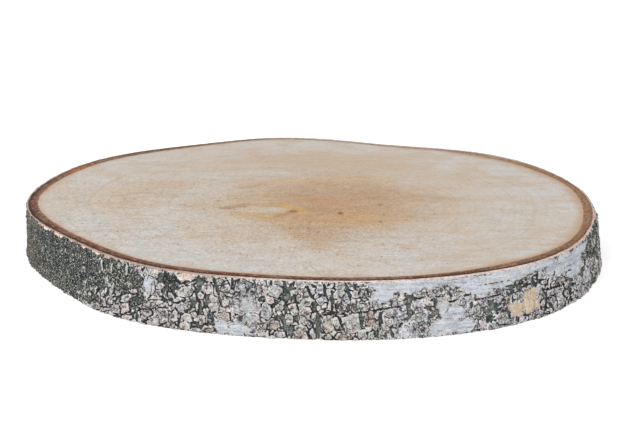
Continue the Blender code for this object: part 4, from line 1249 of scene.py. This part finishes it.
def make_outer_bark():
    """The ring of outer bark, with every plate and fissure of its side."""
    top = THICKNESS - CORK_DROP
    heights = [top - BEVEL - (top - 2.0 * BEVEL) * row / BARK_ROWS for row in range(BARK_ROWS + 1)]
    profile = [(1.0, 0.0), (1.0, top), (1.5, top), (1.9, top)]
    profile += [(2.0, height) for height in heights] + [(1.9, 0.0)]
    piece = make_piece("outer_bark_ring", rolled(profile, BARK_STEPS), outer_bark(), "bark")
    angle, radius, height = corners_of(piece)
    share = radius - 1.0
    on_wall, on_rim, on_side = share < 0.01, share > 0.8, share > 0.95
    side = Side(angle, height)
    face = rim_radius(angle) + flare(angle, height) + side.relief * MM
    wall = rim_radius(angle) - round_the_ring(angle, CORK_WIDTH) * MM - LAP
    reach = np.where(on_rim, face - BEVEL * ~on_side, wall + (face - wall) * share)
    place_corners(piece, angle, np.where(on_wall, wall, reach), height, 55)
    note(piece, hollow=cavity_for_painted_shade(angle, height, side.relief, on_side), edge=side.edge, tint=side.tint,
         paper=side.paper, moss=side.moss, damp=side.damp, calm=side.calm, peach=side.peach,
         scar=side.scar, crack=side.crack, chip=side.chip, cut=~on_side)


# Stage, light and camera

FLOOR_HALF_WIDTH = 6.0
FLOOR_GREY = (0.62, 0.62, 0.62, 1.0)
FLOOR_GLOW = 0.55
WHITE = (1.0, 1.0, 1.0, 1.0)
SKY_STRENGTH = 0.86
KEY_LIGHT_PLACE = (-0.9, -1.6, 1.3)
KEY_LIGHT_WIDTH = 1.0
KEY_LIGHT_WATTS = 18.0
CAMERA_RISE = math.radians(16.23)
CAMERA_DISTANCE = 750 * MM
CAMERA_LENS = 79.0
SENSOR_WIDTH = 36.0
# What the camera aims at, from the middle of the outline
AIM = (3.9 * MM, -30.9 * MM)


def make_floor():
    """A plain pale floor, bright enough to show as white."""
    shape = bmesh.new()
    bmesh.ops.create_grid(shape, x_segments=1, y_segments=1, size=FLOOR_HALF_WIDTH)
    pale = Finish("floor_white", roughness=0.9, specular=0.1)
    pale.shader.inputs["Base Color"].default_value = FLOOR_GREY
    pale.shader.inputs["Emission Color"].default_value = WHITE
    pale.shader.inputs["Emission Strength"].default_value = FLOOR_GLOW
    floor = make_object("floor", shape, pale.material)


def make_light():
    """An even white sky, and one large lamp in front, to the left and above."""
    world = bpy.data.worlds.new("studio")
    bpy.context.scene.world = world
    world.use_nodes = True
    background = world.node_tree.nodes["Background"]
    background.inputs["Color"].default_value = WHITE
    background.inputs["Strength"].default_value = SKY_STRENGTH
    lamp = bpy.data.lights.new("key_light", "AREA")
    lamp.size = KEY_LIGHT_WIDTH
    lamp.energy = KEY_LIGHT_WATTS
    light = bpy.data.objects.new("key_light", lamp)
    bpy.context.scene.collection.objects.link(light)
    light.location = KEY_LIGHT_PLACE
    light.rotation_mode = "QUATERNION"
    light.rotation_quaternion = (-light.location).to_track_quat("-Z", "Y")


def make_camera():
    """A camera with a long lens, a little above the slice and facing its front."""
    lens = bpy.data.cameras.new("camera")
    lens.sensor_width = SENSOR_WIDTH
    lens.lens = CAMERA_LENS
    camera = bpy.data.objects.new("camera", lens)
    bpy.context.scene.collection.objects.link(camera)
    camera.location = (MIDDLE[0] + AIM[0], MIDDLE[1] + AIM[1] - CAMERA_DISTANCE * math.cos(CAMERA_RISE),
                       THICKNESS + CAMERA_DISTANCE * math.sin(CAMERA_RISE))
    camera.rotation_euler = (math.pi / 2.0 - CAMERA_RISE, 0.0, 0.0)
    bpy.context.scene.camera = camera


make_wood()
make_inner_bark()
make_outer_bark()
make_floor()
make_light()
make_camera()
bpy.context.scene.view_settings.view_transform = "Standard"
